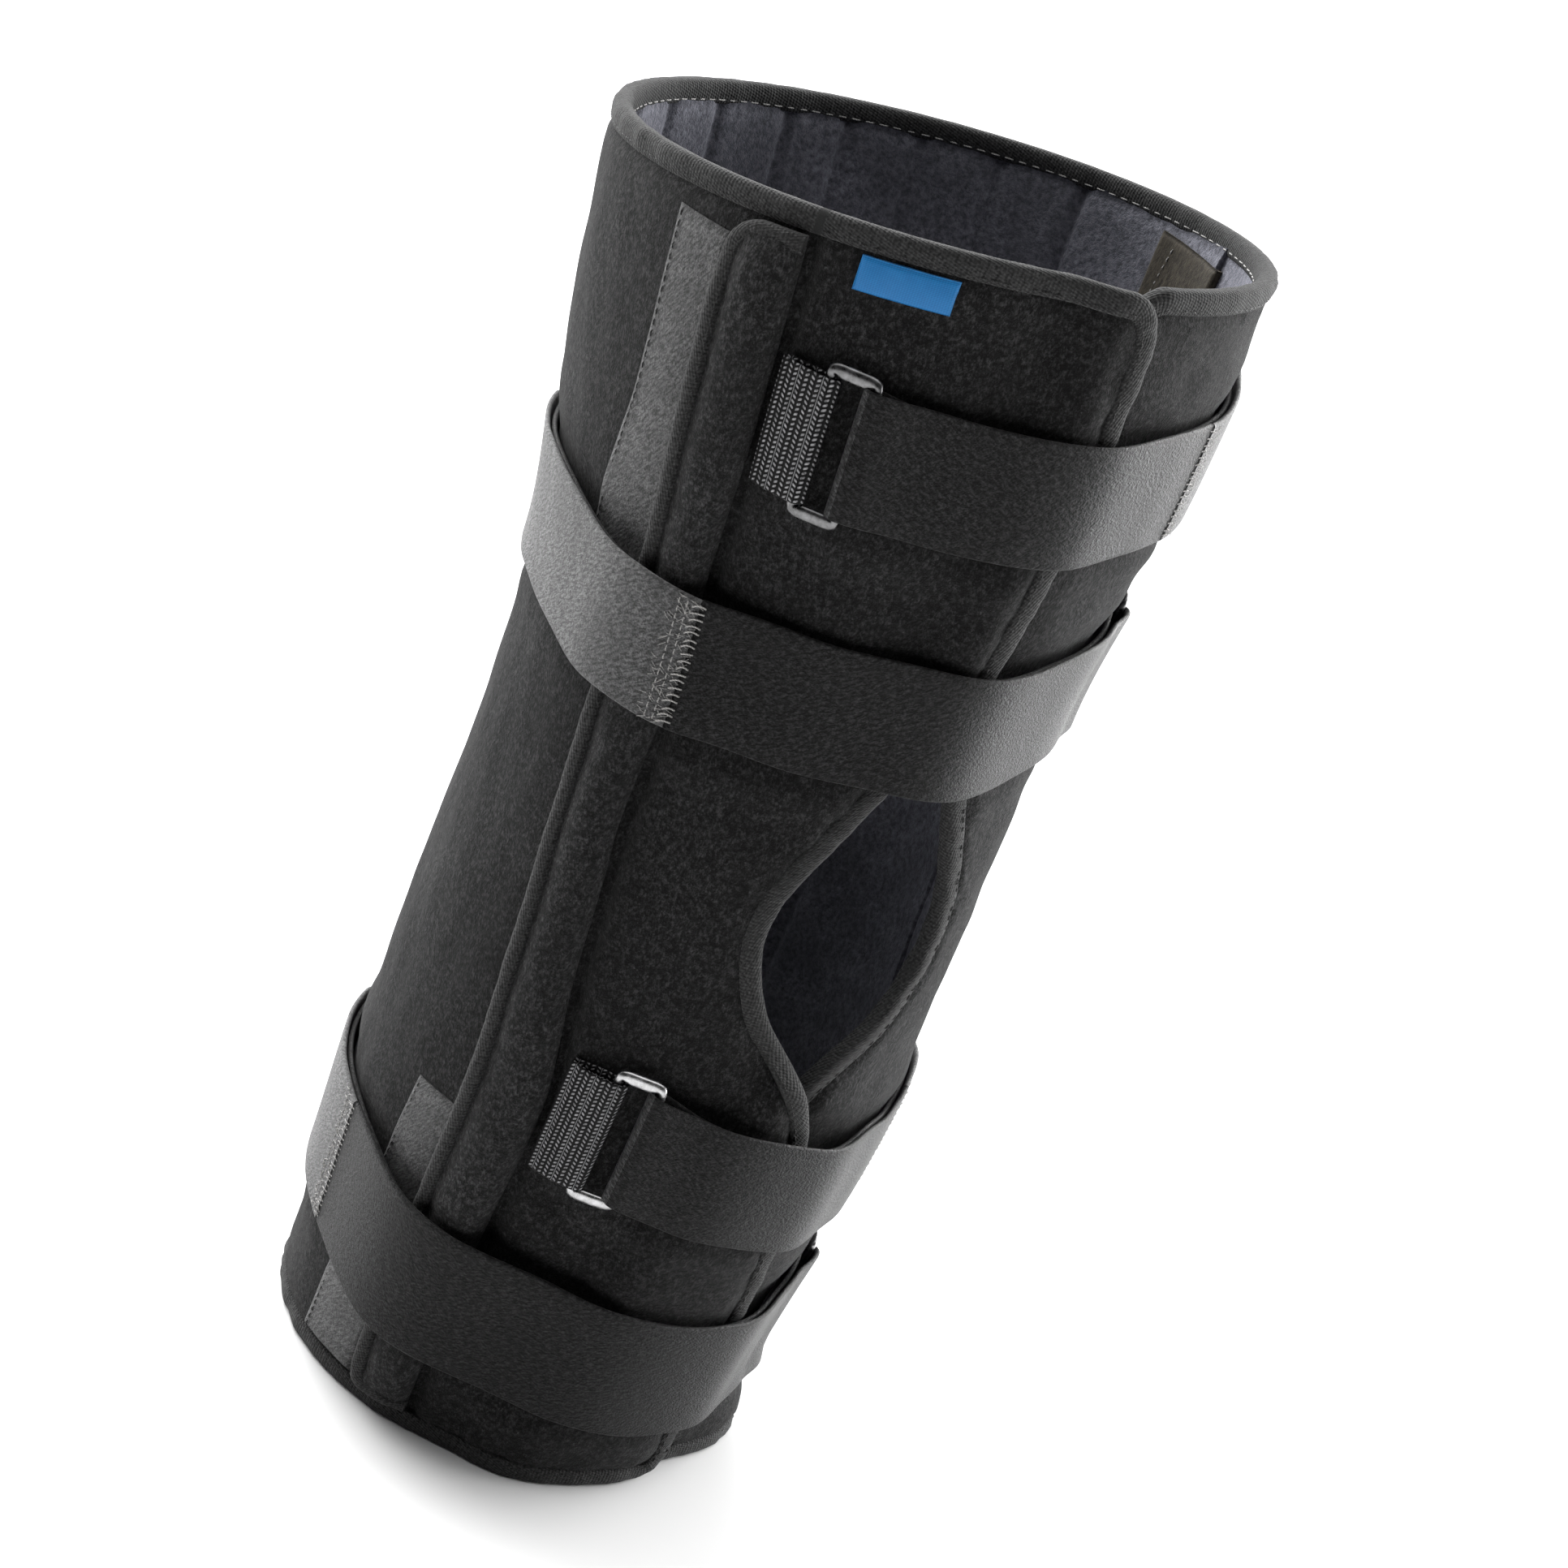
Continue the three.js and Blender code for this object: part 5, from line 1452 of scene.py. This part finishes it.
def make_camera():
    a, e, roll = (math.radians(CAMERA[k]) for k in ("azimuth", "elevation", "roll"))
    right = Vector((math.cos(a), math.sin(a), 0))
    back = Vector((math.sin(a) * math.cos(e), -math.cos(a) * math.cos(e), math.sin(e)))
    up = back.cross(right)
    aim = right * CAMERA["aim_right"] + Vector((0, 0, CAMERA["aim_up"])) + Vector(AXIS)
    x = right * math.cos(roll) + up * math.sin(roll)
    y = up * math.cos(roll) - right * math.sin(roll)
    data = bpy.data.cameras.new("photo_camera")
    data.lens = CAMERA["lens"]
    data.sensor_width = 36
    data.clip_start, data.clip_end = 0.01, 100
    camera = placed("photo_camera", data)
    turn = Matrix((x, y, back)).transposed().to_4x4()
    camera.matrix_world = Matrix.Translation((aim + back * CAMERA["distance"]) * MM) @ turn
    bpy.context.scene.camera = camera


make_camera()


# Floor and soft studio light
FLOOR_HALF = 14.0  # metres
FLOOR_LOOK = {"Base Color": (0.74, 0.74, 0.74, 1), "Roughness": 0.32, "Specular IOR Level": 0.35}


def make_floor():
    mesh = bpy.data.meshes.new("studio_floor")
    corners = [(x * FLOOR_HALF, y * FLOOR_HALF, 0) for x, y in ((-1, -1), (1, -1), (1, 1), (-1, 1))]
    mesh.from_pydata(corners, [], [(0, 1, 2, 3)])
    made = bpy.data.materials.new("pale_floor")
    made.use_nodes = True
    fill(made.node_tree.nodes["Principled BSDF"], FLOOR_LOOK)
    mesh.materials.append(made)
    placed("studio_floor", mesh)


# Soft glows of the surroundings: azimuth from the camera's own, elevation, angle where each fades out and
# angle where it is full, strength
GLOWS = {
    "right": (131, -8, 48, 8, 27.0),
    "left": (-134, 20, 46, 8, 15.0),
    "top": (180, 80, 54, 20, 2.4),
}
AIR = 0.05


def studio_light():
    """Soft light from all around: a glow behind each side of the object, one overhead, dim air."""
    world = bpy.data.worlds.new("studio_air")
    world.use_nodes = True
    tree = world.node_tree
    direction = tree.nodes.new("ShaderNodeTexCoord").outputs["Generated"]
    total = math_node(tree, "ADD", 0.0, AIR)
    for turn, raised, wide, narrow, strength in GLOWS.values():
        turn, raised = math.radians(turn + CAMERA["azimuth"]), math.radians(raised)
        dot = tree.nodes.new("ShaderNodeVectorMath")
        dot.operation = "DOT_PRODUCT"
        tree.links.new(direction, dot.inputs[0])
        dot.inputs[1].default_value = (
            math.sin(turn) * math.cos(raised), -math.cos(turn) * math.cos(raised), math.sin(raised)
        )
        glow = ramp(tree, dot.outputs["Value"], math.cos(math.radians(wide)), math.cos(math.radians(narrow)))
        total = times(tree, glow, strength, total)
    tree.links.new(total, tree.nodes["Background"].inputs["Strength"])
    tree.nodes["Background"].inputs["Color"].default_value = WHITE
    bpy.context.scene.world = world


make_floor()
studio_light()
bpy.context.scene.view_settings.view_transform = "Standard"
